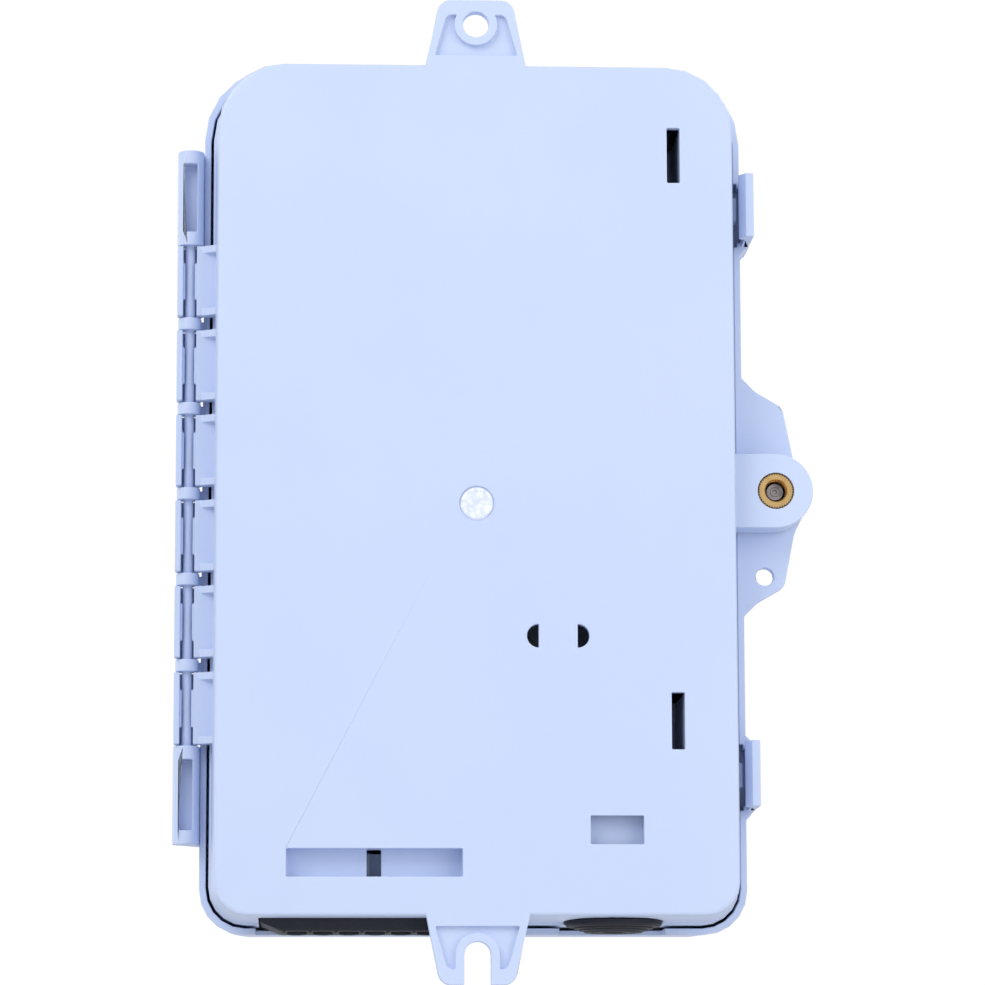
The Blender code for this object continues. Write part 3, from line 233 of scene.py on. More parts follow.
# %% The socket wrapper
class Wire:
    """An output socket in a material, which Python's operators can work with."""

    def __init__(self, tree, socket=None):
        self.tree = tree
        self.socket = socket

    def node(self, kind, inputs=None, settings=None, output=0):
        """Add a node: its settings first, then the values or wires of its sockets."""
        made = self.tree.nodes.new(kind)
        for name, value in (settings or {}).items():
            setattr(made, name, value)
        for name, value in (inputs or {}).items():
            if isinstance(value, Wire):
                self.tree.links.new(value.socket, made.inputs[name])
            else:
                made.inputs[name].default_value = value
        return Wire(self.tree, made.outputs[output])

    def sum(self, operation, first, second=0.0):
        return self.node("ShaderNodeMath", {0: first, 1: second}, {"operation": operation})

    def __add__(self, other):
        return self.sum("ADD", self, other)

    __radd__ = __add__

    def __sub__(self, other):
        return self.sum("SUBTRACT", self, other)

    def __rsub__(self, other):
        return self.sum("SUBTRACT", other, self)

    def __mul__(self, other):
        return self.sum("MULTIPLY", self, other)

    __rmul__ = __mul__

    def clipped(self):
        """Held between 0 and 1."""
        return self.node("ShaderNodeClamp", {"Value": self})

    def steps(self, low, high):
        """0 below a value and 1 above another, with a smooth rise between."""
        return self.node("ShaderNodeMapRange", {"Value": self, "From Min": low, "From Max": high},
                         {"interpolation_type": "SMOOTHSTEP"})

    def blend(self, first, second):
        """A colour mixed from two, by this mask."""
        return self.node("ShaderNodeMix", {0: self, 6: first, 7: second}, {"data_type": "RGBA"}, output=2)


def noise(start, place, scale, detail=3.0, roughness=0.5):
    """Soft noise with features of about 1/scale metres."""
    return start.node("ShaderNodeTexNoise", {"Vector": place, "Scale": scale, "Detail": detail,
                                             "Roughness": roughness})


def begin(name):
    """A new material's tree, its shader, and the place of each point on the piece."""
    material = bpy.data.materials.new(name)
    material.use_nodes = True
    tree = material.node_tree
    start = Wire(tree)
    place = start.node("ShaderNodeTexCoord", output=3)
    return material, tree.nodes["Principled BSDF"], start, place


def plug(shader, socket, wire):
    """Lead a wire into one of a shader's sockets."""
    wire.tree.links.new(wire.socket, shader.inputs[socket])


def edge_mask(start, radius):
    """1 on edges that stand out, from how far a bevelled normal leans from the real one."""
    bevel = start.node("ShaderNodeBevel", {"Radius": radius}, {"samples": 4})
    normal = start.node("ShaderNodeNewGeometry", output=1)
    lean = start.node("ShaderNodeVectorMath", {0: bevel, 1: normal}, {"operation": "DOT_PRODUCT"},
                      output=1)
    return (1 - lean).steps(0.02, 0.25)


# %% [markdown]
# ## The shell's plastic
# The shells are moulded in a pale blue that has a fine spark-eroded grain, so it is satin and
# not glossy. Over the moulding come a slow drift of tone, a few rubbed patches where it is
# smoother, faint dust in the grain, and a painted highlight: a lighter line along the edges,
# which are also a little smoother.

# %% Moulded plastic
def moulded(name, colour, shade, roughness, grain=0.00002, coat=0.0):
    """A moulded plastic: fine grain, slow drift between two tones, rubbed patches, and a painted highlight
    on edges.
    """
    material, shader, start, place = begin(name)
    drift = noise(start, place, 22, 2).steps(0.35, 0.65)
    flow = start.node("ShaderNodeMapping", {"Vector": place, "Scale": (1, 1, 0.35)})
    streaks = noise(start, flow, 90, 4, 0.6).steps(0.45, 0.75)
    rubbed = noise(start, place, 60, 5, 0.65).steps(0.58, 0.72)
    specks = noise(start, place, 2600, 2).steps(0.66, 0.74)
    edges = edge_mask(start, 0.35 * MM)
    tone = drift.blend((*colour, 1), (*shade, 1))
    tone = (streaks * 0.18).blend(tone, (*[value * 0.965 for value in colour], 1))
    tone = (specks * 0.22).blend(tone, (*[value * 0.8 for value in colour], 1))
    # Painted highlight: the colour is lighter along every edge that stands out.
    tone = (edges * 0.35).blend(tone, (*[min(1, value * 1.16) for value in colour], 1))
    plug(shader, "Base Color", tone)
    plug(shader, "Roughness", (roughness - rubbed * 0.07 + specks * 0.08 - edges * 0.05).clipped())
    relief = noise(start, place, 3200, 2, 0.6) + noise(start, place, 420, 3) * 0.6
    plug(shader, "Normal", start.node("ShaderNodeBump", {"Height": relief, "Strength": 0.5,
                                                         "Distance": grain}))
    shader.inputs["Coat Weight"].default_value = coat
    shader.inputs["IOR"].default_value = 1.5
    return material


SHELL = moulded("shell_plastic", (0.556, 0.652, 0.886), (0.542, 0.640, 0.878), 0.42)
TRAY = moulded("tray_plastic", (0.620, 0.690, 0.850), (0.600, 0.672, 0.836), 0.36)
WHITE = moulded("white_plastic", (0.780, 0.800, 0.820), (0.760, 0.782, 0.806), 0.28, 0.00001)
GREEN = moulded("adapter_plastic", (0.040, 0.330, 0.110), (0.034, 0.300, 0.098), 0.3, 0.00001)
print("plastics:", SHELL.name, TRAY.name, WHITE.name, GREEN.name)


# %% [markdown]
# ## The gate pad
# Plastic enters the mould in the middle of the rear shell, and the sprue is cut off there. A
# smooth, slightly glassy blister is left in a shallow recess, so this is its own finish.

# %% Smooth cut plastic
def glassy(name):
    """Plastic with a smooth, uneven skin, where it was cut and not moulded."""
    material, shader, start, place = begin(name)
    cloud = noise(start, place, 700, 4, 0.6)
    tone = cloud.steps(0.4, 0.6).blend((0.70, 0.77, 0.93, 1), (0.86, 0.90, 0.97, 1))
    plug(shader, "Base Color", tone)
    plug(shader, "Roughness", (0.08 + cloud * 0.12).clipped())
    relief = noise(start, place, 500, 3)
    plug(shader, "Normal", start.node("ShaderNodeBump", {"Height": relief, "Strength": 0.4,
                                                         "Distance": 0.0002}))
    shader.inputs["Coat Weight"].default_value = 0.6
    shader.inputs["Coat Roughness"].default_value = 0.05
    return material


GATE = glassy("gate_plastic")
print("smooth pad:", GATE.name)


# %% [markdown]
# ## Rubber
# The cable entries are a dark rubber with a matte skin. It scatters a little light at its
# edges, holds pale dust, and has a pebbled surface from the mould.

# %% Rubber
def rubber(name, colour):
    """A matte rubber: pebbled skin, pale dust in patches, and lighter edges."""
    material, shader, start, place = begin(name)
    dust = noise(start, place, 180, 5, 0.65).steps(0.5, 0.8)
    fine = noise(start, place, 1800, 3)
    edges = edge_mask(start, 0.25 * MM)
    tone = (dust * 0.25).blend((*colour, 1), (0.055, 0.060, 0.080, 1))
    tone = (edges * 0.45).blend(tone, (0.095, 0.105, 0.145, 1))
    plug(shader, "Base Color", tone)
    plug(shader, "Roughness", (0.5 + dust * 0.2 + fine * 0.15).clipped())
    plug(shader, "Normal", start.node("ShaderNodeBump", {"Height": fine, "Strength": 0.5,
                                                         "Distance": 0.00003}))
    shader.inputs["IOR"].default_value = 1.36
    return material


RUBBER = rubber("black_rubber", (0.014, 0.016, 0.026))
print("rubber:", RUBBER.name)


# %% [markdown]
# ## Metals
# The insert is turned brass, the bolt is oiled steel, and the screws and the washer are zinc
# plated.
# Turning leaves rings, handling leaves a thin tarnish, and plating is slightly blotchy. One
# function makes them all from a clean tone and a tarnished one.

# %% Metals
def metal(name, clean, tarnished, roughness, ring_scale, amount):
    """A turned metal: rings from the tool, an amount of tarnish in blotches, and edges rubbed smoother, with
    a painted highlight in their colour.
    """
    material, shader, start, place = begin(name)
    blotches = noise(start, place, 420, 4, 0.6).steps(0.4, 0.7)
    pits = noise(start, place, 2200, 3).steps(0.6, 0.75)
    edges = edge_mask(start, 0.15 * MM)
    tone = (blotches * amount).blend((*clean, 1), (*tarnished, 1))
    # Painted highlight: along edges the colour is lighter than the clean metal.
    tone = (edges * 0.5).blend(tone, (*[min(1, value * 1.25) for value in clean], 1))
    plug(shader, "Base Color", tone)
    plug(shader, "Roughness", (roughness + blotches * 0.16 + pits * 0.15 - edges * 0.08).clipped())
    rings = start.node("ShaderNodeTexWave", {"Vector": place, "Scale": ring_scale, "Distortion": 1.5,
                                             "Detail": 2.0}, {"bands_direction": "Y"}, output=1)
    relief = rings * 0.5 + noise(start, place, 1500, 3)
    plug(shader, "Normal", start.node("ShaderNodeBump", {"Height": relief, "Strength": 0.35,
                                                         "Distance": 0.00002}))
    shader.inputs["Metallic"].default_value = 1.0
    return material


BRASS = metal("insert_brass", (0.80, 0.55, 0.24), (0.42, 0.24, 0.09), 0.24, 900, 0.75)
BOLT = metal("oiled_steel", (0.36, 0.33, 0.34), (0.20, 0.17, 0.17), 0.27, 2600, 0.8)
ZINC = metal("zinc_steel", (0.66, 0.67, 0.69), (0.48, 0.49, 0.53), 0.28, 900, 0.6)
TUBE = metal("splitter_steel", (0.70, 0.71, 0.73), (0.56, 0.57, 0.60), 0.24, 300, 0.5)
FINISHES = {"shell_plastic": SHELL, "tray_plastic": TRAY, "white_plastic": WHITE,
            "adapter_plastic": GREEN, "black_rubber": RUBBER, "insert_brass": BRASS,
            "zinc_steel": ZINC, "splitter_steel": TUBE}
print("finishes:", ", ".join(FINISHES))


# %% [markdown]
# ## Finishing a piece
# Every finished piece is smoothed by angle, gets its material, rides on its body and takes
# the place of the CAD node that it stands for. One helper does all of that in one way.

# %% The last steps of every piece
painted = {}                    # the finish of the piece that stands for each node


def done(piece, slot, node, hides=True, material=None, angle=35):
    """Smooth, paint and seat a piece on the body of a node, and let it stand for that node."""
    piece.data.materials.clear()
    piece.data.materials.append(material or FINISHES[slot])
    activate(piece)
    bpy.ops.object.shade_smooth_by_angle(angle=math.radians(angle))
    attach(piece, BODY_OF[node])
    if hides:
        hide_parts(node)
        painted[node] = FINISHES[slot]
    piece.select_set(False)
    print(f"{piece.name}: {len(piece.data.polygons)} faces")
    return piece


def box_of(node):
    """A node's two corners and its middle."""
    low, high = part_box(node)
    return low, high, (low + high) / 2


# %% [markdown]
# ## Mouldings from the CAD
# The shells, the tray, the panel and the clamps have their real shape in the CAD already, but
# a CAD edge is perfectly sharp, and no moulding is. A copy of the mesh is welded, a narrow
# bevel rounds each edge so that it catches light, and weighted normals keep the flats flat.
#
# A wide bevel can turn a thin triangle over, so slivers that lie folded on their neighbour are
# dissolved into it, and no point is left outside the CAD piece's own box.

# %% Soft-edged copies
def folded(edge):
    """Whether a sliver beside an edge is turned over onto its neighbour."""
    return len(edge.link_faces) == 2 and edge.link_faces[0].normal.dot(edge.link_faces[1].normal) < -0.98


def softened(node, name, slot, width, angle=30):
    """A copy of a CAD node with its edges rounded."""
    piece = bpy.data.objects.new(name, frame["nodes"][node].data.copy())
    bpy.context.scene.collection.objects.link(piece)
    edit(piece)
    bpy.ops.mesh.select_all(action="SELECT")
    bpy.ops.mesh.remove_doubles(threshold=WELD)
    bpy.ops.mesh.beautify_fill(angle_limit=math.radians(0.5))
    bpy.ops.object.mode_set(mode="OBJECT")
    round_off(piece, width, angle)
    edit(piece)
    pick("edges", folded)
    bpy.ops.mesh.dissolve_edges(use_verts=False)
    bpy.ops.object.mode_set(mode="OBJECT")
    low, high, centre = box_of(node)
    for vertex in piece.data.vertices:
        vertex.co = [min(max(value, least), most) for value, least, most in zip(vertex.co, low, high)]
    done(piece, slot, node)
    flat = piece.modifiers.new("flat", "WEIGHTED_NORMAL")
    flat.keep_sharp = True
    flat.use_face_influence = True
    activate(piece)
    bpy.ops.object.modifier_apply(modifier="flat")
    return piece


softened("base_shell", "rear_shell_moulding", "shell_plastic", 0.22 * MM)
softened("front_cover", "cover_moulding", "shell_plastic", 0.22 * MM)
softened("splice_tray", "tray_moulding", "tray_plastic", 0.18 * MM)
softened("adapter_panel", "panel_moulding", "tray_plastic", 0.15 * MM)
softened("drop_clamp_bar", "clamp_bar_moulding", "shell_plastic", 0.18 * MM)
softened("feeder_clamp", "feeder_saddle_moulding", "shell_plastic", 0.18 * MM)
softened("splice_holder", "splice_comb", "white_plastic", 0.15 * MM)
softened("perimeter_seal", "lid_seal", "black_rubber", 0.4 * MM)

# %% [markdown]
# ## The knurled insert
# The bolt screws into a brass insert pressed into the lock ear. It is turned from bar: a
# flange with a fine knurl, a groove, a second knurled band, and a threaded bore with a
# chamfer at its mouth. The lathe makes it, and pushing in every other line makes the knurl.

# %% Insert
KNURL_BITE = 0.26               # millimetres that the knurl stands into the clearance round the CAD's insert
INSERT_STEPS = 80
low, high, centre = box_of("lock_insert")
axis_point = Vector((centre.x, 0, centre.z))
outer = (high.x - low.x) / 2 / MM + KNURL_BITE
near, far = -high.y / MM, -low.y / MM
bore = 2.2
mouth = [(bore + 0.25, near), (outer - 0.25, near), (outer, near + 0.25), (outer, near + 3.0),
         (outer - 0.5, near + 3.3), (outer - 0.5, near + 4.3), (outer, near + 4.6),
         (outer, far - 0.3), (outer - 0.3, far), (bore + 0.4, far)]
inside = thread(bore, -0.22, far - 0.4, near + 0.4, 0.75)
insert = turned("knurled_insert", mouth + inside + [(bore + 0.25, near)], axis_point, steps=INSERT_STEPS)
edit(insert)
teeth = pick("verts", lambda vertex: (vertex.co - axis_point).xz.length > (outer - 0.35) * MM
             and every_other(vertex, centre, INSERT_STEPS))
bpy.ops.transform.resize(value=(0.935, 1, 0.935), center_override=axis_point)
bpy.ops.object.mode_set(mode="OBJECT")
print("knurl points pushed in:", teeth)
done(insert, "insert_brass", "lock_insert", angle=25)

# %% [markdown]
# ## The lock bolt and its washer
# The bolt stays in the cover's cup, so a technician cannot lose it. It has a cap head with a
# gripping edge, a six-sided socket, and a thread that ends in a chamfer. The head could be a
# cylinder, but a real one has a rounded crown and a knurled rim, which the lathe gives.

# %% Bolt
BOLT_STEPS = 72
low, high, centre = box_of("lock_bolt")
tip, crown = -high.y / MM, -low.y / MM
head = (high.x - low.x) / 2 / MM
seat = crown - 4
shank = 1.9
profile = [(0, tip + 0.3), (0.3, tip + 0.25), (0.45, tip), (0.95, tip), (1.0, tip + 0.06), (1.08, tip),
           (shank - 0.15, tip)] + thread(shank, 0.24, tip + 0.35, seat - 6, 0.8)
profile += [(shank - 0.1, seat - 5.8), (shank - 0.1, seat), (head - 0.2, seat), (head, seat + 0.2),
            (head, crown - 0.9), (head - 0.25, crown - 0.35), (head - 0.8, crown), (0, crown)]
bolt = turned("cap_bolt", profile, (centre.x, 0, centre.z), steps=BOLT_STEPS)
edit(bolt)
pick("verts", lambda vertex: (vertex.co - centre).xz.length > (head - 0.1) * MM
     and every_other(vertex, centre, BOLT_STEPS))
bpy.ops.transform.resize(value=(0.965, 1, 0.965), center_override=(centre.x, 0, centre.z))
deselect()
bpy.ops.mesh.primitive_cylinder_add(vertices=6, radius=1.9 * MM, depth=4.8 * MM,
                                    location=(centre.x, -crown * MM, centre.z),
                                    rotation=(math.pi / 2, 0, 0))
carve(bolt, name_it("hexagon"))
done(bolt, "zinc_steel", "lock_bolt", material=BOLT, angle=28)

low, high, centre = box_of("bolt_washer")
near, far = -high.y / MM, -low.y / MM
rim = (high.x - low.x) / 2 / MM
washer = turned("plain_washer", [(2.25, near + 0.12), (2.37, near), (rim - 0.2, near), (rim, near + 0.2),
                                 (rim, far - 0.35), (rim - 0.35, far), (2.37, far), (2.25, far - 0.12),
                                 (2.25, near + 0.12)], (centre.x, 0, centre.z), steps=64)
done(washer, "zinc_steel", "bolt_washer")

# %% [markdown]
# ## Clamp screws
# Four small screws hold the cable clamps. Each is a pan-head thread-former with a cross
# recess. One is turned at its node's place, and the other three are copies moved to theirs.

# %% Screws
SCREWS = ("drop_clamp_screw_1", "drop_clamp_screw_2", "feeder_clamp_screw_1", "feeder_clamp_screw_2")
low, high, centre = box_of(SCREWS[0])
tip, crown = -high.y / MM, -low.y / MM
head = (high.x - low.x) / 2 / MM
seat = crown - 1.8
profile = [(0, tip), (0.6, tip + 0.1)] + thread(1.2, 0.3, tip + 0.6, seat - 0.6, 0.9)
profile += [(0.95, seat - 0.4), (0.95, seat), (head - 0.1, seat), (head, seat + 0.15), (head, seat + 0.8),
            (head - 0.25, crown - 0.5), (head - 0.9, crown - 0.12), (head - 1.6, crown), (0, crown)]
screw = turned("clamp_screw_1", profile, (centre.x, 0, centre.z), steps=40)
for size in ((0.42, 2.6), (2.6, 0.42)):
    arm = Vector((size[0] / 2 * MM, 1.1 * MM, size[1] / 2 * MM))
    place = Vector((centre.x, -crown * MM, centre.z))
    carve(screw, block("recess", place - arm, place + arm))
for number, node in enumerate(SCREWS, 1):
    other_low, other_high, other = box_of(node)
    twin = screw if number == 1 else copy_of(screw, f"clamp_screw_{number}", other - centre)
    done(twin, "zinc_steel", node)

# %% [markdown]
# ## The drop cable grommet
# One long rubber strip seals eight small cables. Its lower face tapers at both ends, and each
# entry is a collar with a membrane that is slit when a cable goes in. The strip starts as a
# block: its lower face is extruded and drawn in at the ends, and a lip is pushed out inside.

# %% Rubber strip
low, high, centre = box_of("drop_cable_grommet")
lip = 1.4 * MM
foot = low.z + 0.6 * MM
strip = block("rubber_strip", (low.x + lip, low.y, foot + 1.8 * MM), (high.x - lip, high.y, high.z))
edit(strip)
pick("faces", lambda face: face.normal.z < -0.5)
bpy.ops.mesh.extrude_region_move(TRANSFORM_OT_translate={"value": (0, 0, -1.8 * MM)})
width = high.x - low.x - 2 * lip
bpy.ops.transform.resize(value=((width - 8.8 * MM) / width, 1, 1),
                         center_override=(centre.x, centre.y, foot))
bpy.ops.mesh.select_all(action="SELECT")
bpy.ops.mesh.bisect(plane_co=(0, 0, high.z - 2.6 * MM), plane_no=(0, 0, 1))
for side in (-1, 1):
    pick("faces", lambda face: face.normal.x * side > 0.9 and middle(face).z > high.z - 2.6 * MM)
    bpy.ops.mesh.extrude_region_move(TRANSFORM_OT_translate={"value": (side * lip, 0, 0)})
bpy.ops.object.mode_set(mode="OBJECT")
round_off(strip, 0.35 * MM, 20, 3)

# %% Eight entries
ENTRY_PITCH = 5.45              # between two entries
FRONT, BACK = 16, 5             # how far forward the strip's two long sides are
start = (high.x - lip) / MM - 7.7
pieces = [strip]
collar = [(0, 0.9), (0.35, 0.85), (0.95, 0.25), (1.15, 0.15), (1.3, 0.25), (1.35, 0.5), (1.5, 0.5),
          (1.55, 0), (1.9, 0), (2.08, 0.15), (2.1, 0.4), (2.1, 1.6), (0, 1.6)]
entry = turned("entry", collar, (start * MM, -(FRONT + BACK) / 2 * MM, low.z), "Z", 32)
for number in range(8):
    move = (-ENTRY_PITCH * number * MM, 0, 0)
    pieces.append(entry if number == 0 else copy_of(entry, f"entry_{number}", move))
for number in range(9):
    x = (start + ENTRY_PITCH * (0.5 - number)) * MM
    rib = block("rib", (x - 0.35 * MM, -(FRONT - 0.6) * MM, foot - 0.35 * MM),
                (x + 0.35 * MM, -(BACK + 0.6) * MM, foot + MM))
    pieces.append(round_off(rib, 0.2 * MM))
done(gather(pieces, "drop_cable_grommet_rubber"), "black_rubber", "drop_cable_grommet")

# %% [markdown]
# ## The feeder gland
# The feeder cable enters through a stepped rubber cone, which is cut back to the step that
# fits the cable. It is a round moulding with a flange on each side of the wall, so it is
# turned, with a step for each cable size and a thin membrane over the smallest.

# %% Gland
low, high, centre = box_of("feeder_gland")
wide = (high.x - low.x) / 2 / MM
top, tip = high.z / MM, low.z / MM
seat = -91                      # the outer side of the wall that the gland grips
profile = [(0, top), (8.6, top), (9.1, top - 0.3), (9.2, top - 0.7), (9.15, top - 1.2), (8, top - 1.2),
           (8, seat - 0.3), (wide - 0.3, seat - 0.3), (wide, seat - 0.5), (wide, seat - 1.3),
           (wide - 0.4, seat - 1.7), (wide - 1.3, seat - 1.75), (8.5, seat - 1.75), (8.4, seat - 2.1),
           (7.4, seat - 2.2), (7.3, seat - 2.5), (6.4, tip + 0.25), (6.1, tip), (4.9, tip),
           (4.7, tip + 0.5), (4.4, tip + 0.5), (4.2, tip), (2.7, tip), (2.4, tip + 0.4), (1.7, tip + 1.1), (0, tip + 1.2)]
gland = turned("feeder_gland_rubber", profile, (centre.x, centre.y, 0), "Z", 64)
done(gland, "black_rubber", "feeder_gland")

# %% [markdown]
# ## Adapters
# Eight square adapters join the drop cables' plugs to the pigtails. Each is two welded
# halves: a body with a socket at either end, a lip that rests on the panel, a key slot for
# the plug's key, and raised grips. One is modelled in edit mode and copied along the row.

# %% One adapter
low, high, centre = box_of("adapter_1")
lip_low, lip_high = -32.8 * MM, -31.2 * MM
LIP = 1.6 * MM                  # how far the lip stands out
body = block("adapter_body_1", (low.x, low.y + LIP, low.z), (high.x, high.y - LIP, high.z))
edit(body)
for side in (-1, 1):
    pick("faces", lambda face: face.normal.z * side > 0.9)
    bpy.ops.mesh.inset(thickness=0.9 * MM)
    bpy.ops.mesh.extrude_region_move(TRANSFORM_OT_translate={"value": (0, 0, -side * 11 * MM)})
for height in (lip_low, lip_high):
    bpy.ops.mesh.select_all(action="SELECT")
    bpy.ops.mesh.bisect(plane_co=(0, 0, height), plane_no=(0, 0, 1))
for side in (-1, 1):
    pick("faces", lambda face: face.normal.y * side > 0.9 and lip_low < middle(face).z < lip_high
         and abs(middle(face).y - centre.y) > 6 * MM)
    bpy.ops.mesh.extrude_region_move(TRANSFORM_OT_translate={"value": (0, side * LIP, 0)})
bpy.ops.object.mode_set(mode="OBJECT")
round_off(body, 0.25 * MM, 30, 2)
front = low.y + LIP
for side in (-1, 1):
    end = low.z if side < 0 else high.z
    corner = (centre.x - 1.9 * MM, front - MM, end - 5.5 * MM)
    other_corner = (centre.x + 1.9 * MM, front + 1.1 * MM, end + 5.5 * MM)
    carve(body, block("key_slot", corner, other_corner))
seam = block("seam", (low.x - MM, low.y, centre.z - 0.1 * MM),
             (high.x + MM, front + 0.12 * MM, centre.z + 0.1 * MM))
carve(body, seam)

# %% Grips and the row of eight
parts = [body]
for step in range(4):
    for side in (-1, 1):
        z = centre.z + side * (2.2 + 1.1 * step) * MM
        if lip_low - 0.4 * MM < z < lip_high + 0.4 * MM:
            continue
        bar = block("grip", (centre.x - 3 * MM, front - 0.25 * MM, z - 0.25 * MM),
                    (centre.x + 3 * MM, front + 0.3 * MM, z + 0.25 * MM))
        parts.append(round_off(bar, 0.12 * MM))
adapter = gather(parts, "adapter_body_1")
for number in range(1, 9):
    node = f"adapter_{number}"
    move = box_of(node)[2] - centre
    twin = adapter if number == 1 else copy_of(adapter, f"adapter_body_{number}", move)
    done(twin, "adapter_plastic", node)

# %% [markdown]
# ## Dust caps
# Every socket keeps a cap until it is used. A cap is a hollow plug with a head, and the head
# has ridges to pull it by. The ridges are what a plain block would lack, so the head is
# subdivided and alternate bands are pushed in. Upper caps are the lower one turned over.

# %% One cap and its copies
low, high, centre = box_of("lower_cap_1")
shelf = low.z + 3 * MM
cap = block("cap_head", (low.x, low.y, low.z), (high.x, high.y, shelf))
edit(cap)
for step in range(1, 6):
    bpy.ops.mesh.select_all(action="SELECT")
    bpy.ops.mesh.bisect(plane_co=(0, 0, low.z + (0.35 + 0.4 * step) * MM), plane_no=(0, 0, 1))
pick("faces", lambda face: abs(face.normal.y) > 0.9 and middle(face).z < low.z + 2.4 * MM
     and round((middle(face).z - low.z - 0.55 * MM) / (0.4 * MM)) % 2 == 1)
bpy.ops.mesh.inset(thickness=0.35 * MM, depth=-0.3 * MM)
pick("faces", lambda face: face.normal.z < -0.9)
bpy.ops.mesh.inset(thickness=1.2 * MM)
bpy.ops.mesh.extrude_region_move(TRANSFORM_OT_translate={"value": (0, 0, 0.5 * MM)})
bpy.ops.object.mode_set(mode="OBJECT")
round_off(cap, 0.2 * MM, 30, 2)
plug_half = (high.x - low.x) / 2 - 0.8 * MM
core = block("cap_plug", (centre.x - plug_half, low.y + 0.8 * MM, shelf - 0.2 * MM),
             (centre.x + plug_half, high.y - 0.8 * MM, high.z))
edit(core)
pick("faces", lambda face: face.normal.z > 0.9)
bpy.ops.mesh.inset(thickness=0.9 * MM)
bpy.ops.mesh.extrude_region_move(TRANSFORM_OT_translate={"value": (0, 0, -5 * MM)})
bpy.ops.object.mode_set(mode="OBJECT")
round_off(core, 0.25 * MM, 30, 2)
cap = gather([cap, core], "lower_dust_cap_1")
for number in range(1, 9):
    for side in ("lower", "upper"):
        node = f"{side}_cap_{number}"
        move = box_of(node)[2] - centre
        flip = centre.z if side == "upper" else None
        if node == "lower_cap_1":
            twin = cap
        else:
            twin = copy_of(cap, f"{side}_dust_cap_{number}", move, flip)
        done(twin, "white_plastic", node)

# %% [markdown]
# ## The splitter module
# A small steel tube holds the splitter that shares one fibre between eight. It is drawn
# tube with rolled edges, closed at each end by a soft boot, and crimped near the ends.

# %% Splitter
low, high, centre = box_of("splitter_module")
tube = block("splitter_tube", (low.x, low.y, low.z + 4 * MM), (high.x, high.y, high.z - 4 * MM))
edit(tube)
pick("edges", lambda edge: abs(edge.verts[0].co.z - edge.verts[1].co.z) > 10 * MM)
bpy.ops.mesh.bevel(offset=1.1 * MM, segments=5)
for side in (-1, 1):
    for step in (3.0, 3.5, 4.3, 4.8):
        bpy.ops.mesh.select_all(action="SELECT")
        bpy.ops.mesh.bisect(plane_co=(0, 0, centre.z + side * (30 - step) * MM), plane_no=(0, 0, 1))
    pick("verts", lambda vertex: abs(abs(vertex.co.z - centre.z) - 26.1 * MM) < 0.5 * MM)
bpy.ops.transform.resize(value=(0.94, 0.9, 1), center_override=centre)
bpy.ops.object.mode_set(mode="OBJECT")
round_off(tube, 0.2 * MM, 40, 2)
done(tube, "splitter_steel", "splitter_module")
for side, name in ((-1, "lower"), (1, "upper")):
    near = centre.z + side * 29.5 * MM
    far = low.z if side < 0 else high.z
    boot = block(f"splitter_boot_{name}", (centre.x - 2.5 * MM, centre.y - 1.3 * MM, min(near, far)),
                 (centre.x + 2.5 * MM, centre.y + 1.3 * MM, max(near, far)))
    edit(boot)
    for step in (1.4, 2.0, 2.8, 3.4):
        bpy.ops.mesh.select_all(action="SELECT")
        bpy.ops.mesh.bisect(plane_co=(0, 0, near + side * step * MM), plane_no=(0, 0, 1))
    pick("verts", lambda vertex: abs(vertex.co.z - far) < 0.1 * MM)
    bpy.ops.transform.resize(value=(0.8, 0.75, 1), center_override=(centre.x, centre.y, far))
    pick("verts", lambda vertex: 1.3 * MM < abs(vertex.co.z - near) < 1.5 * MM
         or 2.7 * MM < abs(vertex.co.z - near) < 2.9 * MM)
    bpy.ops.transform.resize(value=(0.9, 0.86, 1), center_override=(centre.x, centre.y, far))
    bpy.ops.object.mode_set(mode="OBJECT")
    round_off(boot, 0.25 * MM, 40, 2)
    done(boot, "black_rubber", "splitter_module", hides=False)

# %% [markdown]
# ## Fibre tabs
# Bare fibre is springy, so thin tabs along the tray's rim keep its loops down. A tab is a
# little shelf with a rounded nose. One is modelled and copied along both sides and the top.

# %% Tabs on the tray's rim
low, high, centre = box_of("splice_tray")
rim_top = low.y
RIM = 1.6 * MM                  # the rim's thickness
left, right, top = low.x + RIM, 42.4 * MM - RIM, high.z - RIM
shelf = block("tab", (-0.3 * MM, rim_top, -3.5 * MM), (5 * MM, rim_top + 0.9 * MM, 3.5 * MM))
edit(shelf)
pick("edges", lambda edge: all(vertex.co.x > 4 * MM for vertex in edge.verts)
     and abs(edge.verts[0].co.y - edge.verts[1].co.y) > 0.5 * MM)
bpy.ops.mesh.bevel(offset=2.4 * MM, segments=6)
bpy.ops.object.mode_set(mode="OBJECT")
round_off(shelf, 0.2 * MM, 40, 2)
places = [(left, height * MM, 0) for height in (68, 44, 20)]
places += [(right, height * MM, 180) for height in (68, 44, 20)]
places += [(x * MM, top, -90) for x in (-22, 2, 26)]
tabs = []
for number, (x, height, turn) in enumerate(places, 1):
    tab = shelf if number == len(places) else copy_of(shelf, f"tab_{number}")
    turned_tab = Matrix.Rotation(math.radians(-turn), 4, "Y")
    tab.data.transform(Matrix.Translation((x, 0, height)) @ turned_tab)
    tabs.append(tab)
done(gather(tabs, "fibre_tabs"), "tray_plastic", "splice_tray", hides=False)

# %% [markdown]
# ## The gate blister
# The cut-off sprue is a round pad in the recess at the back's middle. It is not quite flat:
# a ring of plastic was pushed up round it, and its middle is a soft, uneven dome.

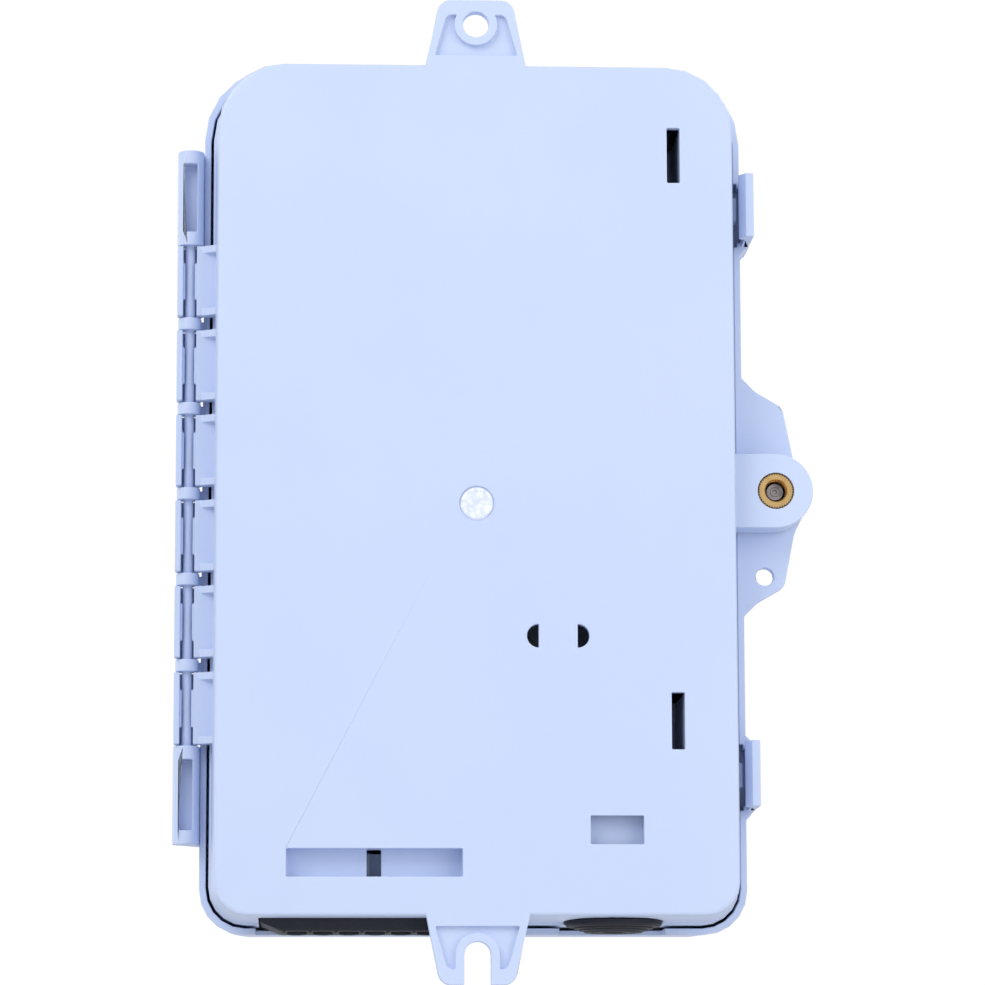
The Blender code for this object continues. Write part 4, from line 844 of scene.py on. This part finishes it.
# %% Gate blister
pad_centre = Vector((0, 0, -4.2 * MM))
profile = [(0, 0.14), (0.8, 0.2), (1.5, 0.1), (2.2, 0.3), (2.7, 0.2), (3.0, 0.12), (3.25, 0.2),
           (3.5, 0.42), (3.62, 0.62), (0, 0.62)]
pad = turned("gate_blister", profile, pad_centre, steps=48)
edit(pad)
pick("verts", lambda vertex: (vertex.co - Vector((-0.5 * MM, vertex.co.y, -4.9 * MM))).length < 1.2 * MM)
bpy.ops.transform.translate(value=(0, -0.16 * MM, 0))
pick("verts", lambda vertex: (vertex.co - Vector((0.7 * MM, vertex.co.y, -3.5 * MM))).length < 0.9 * MM)
bpy.ops.transform.translate(value=(0, 0.1 * MM, 0))
bpy.ops.object.mode_set(mode="OBJECT")
done(pad, "shell_plastic", "base_shell", hides=False, material=GATE, angle=80)

# %% [markdown]
# ## The camera
# The box hangs on a wall by two tabs and is seen here from behind, from a little below its
# middle, with a long lens. The place and the turn were fitted to the box's own outline.

# %% Camera
eye = bpy.data.cameras.new("camera")
eye.lens = 154.43
eye.sensor_width = 36
camera = bpy.data.objects.new("camera", eye)
camera.location = (0.04205, 0.88111, -0.13968)
camera.rotation_euler = [math.radians(turn) for turn in (98.877, 0.145, 177.076)]
bpy.context.scene.collection.objects.link(camera)
bpy.context.scene.camera = camera
print("camera at", tuple(round(value, 3) for value in camera.location))


# %% [markdown]
# ## Light and floor
# A product like this is lit inside a white tent: soft light comes from all round, and a large
# panel on each side gives the edges their shape. The world is the tent, and the camera sees it
# whiter than the light it sheds, which keeps the pale plastic from washing out.

# %% A white tent
world = bpy.data.worlds.new("tent")
bpy.context.scene.world = world
world.use_nodes = True
sky = Wire(world.node_tree)
seen = sky.node("ShaderNodeLightPath")
backdrop = world.node_tree.nodes["Background"]
backdrop.inputs["Color"].default_value = (1, 1, 1, 1)
plug(backdrop, "Strength", 0.668 + seen * 0.352)


def panel_light(name, place, aim, size, power):
    """A square soft light that faces a point."""
    lamp = bpy.data.lights.new(name, "AREA")
    lamp.shape = "SQUARE"
    lamp.size = size
    lamp.energy = power
    lit = bpy.data.objects.new(name, lamp)
    lit.location = place
    lit.rotation_euler = (Vector(aim) - Vector(place)).to_track_quat("-Z", "Y").to_euler()
    bpy.context.scene.collection.objects.link(lit)


panel_light("key", (0.7, 0.9, 0.8), (0, 0, 0), 0.9, 8.4)
panel_light("fill", (-0.8, 0.8, 0.2), (0, 0, 0), 0.9, 4)
panel_light("front_key", (-0.6, -0.9, 0.8), (0, 0, 0), 0.9, 5)
panel_light("front_fill", (0.8, -0.7, 0.1), (0, 0, 0), 0.9, 2)
bpy.context.scene.view_settings.view_transform = "Standard"

# %% A pale floor
deselect()
bpy.ops.mesh.primitive_plane_add(size=6, location=(0, 0, -0.25))
floor = name_it("floor")
paper, paper_shader, paper_start, paper_place = begin("floor_paper")
fibres = noise(paper_start, paper_place, 40, 4)
paper_tone = fibres.steps(0.3, 0.7).blend((0.66, 0.66, 0.67, 1), (0.70, 0.70, 0.71, 1))
plug(paper_shader, "Base Color", paper_tone)
plug(paper_shader, "Roughness", 0.75 + fibres * 0.1)
floor.data.materials.append(paper)
print("floor", floor.name, "is staging, not part of the box")

# %% [markdown]
# ## Finish
# The CAD nodes that stay hidden still get their finish, so that no bare grey shows if one is
# turned on.

# %% Paint and finish
for material in frame["record"]["materials"]:
    print("slot", material["slot"], "is", material["finish"])
for node, shape in frame["nodes"].items():
    shape.data.materials.clear()
    shape.data.materials.append(painted[node])
print("painted nodes:", len(painted))

bpy.context.view_layer.update()
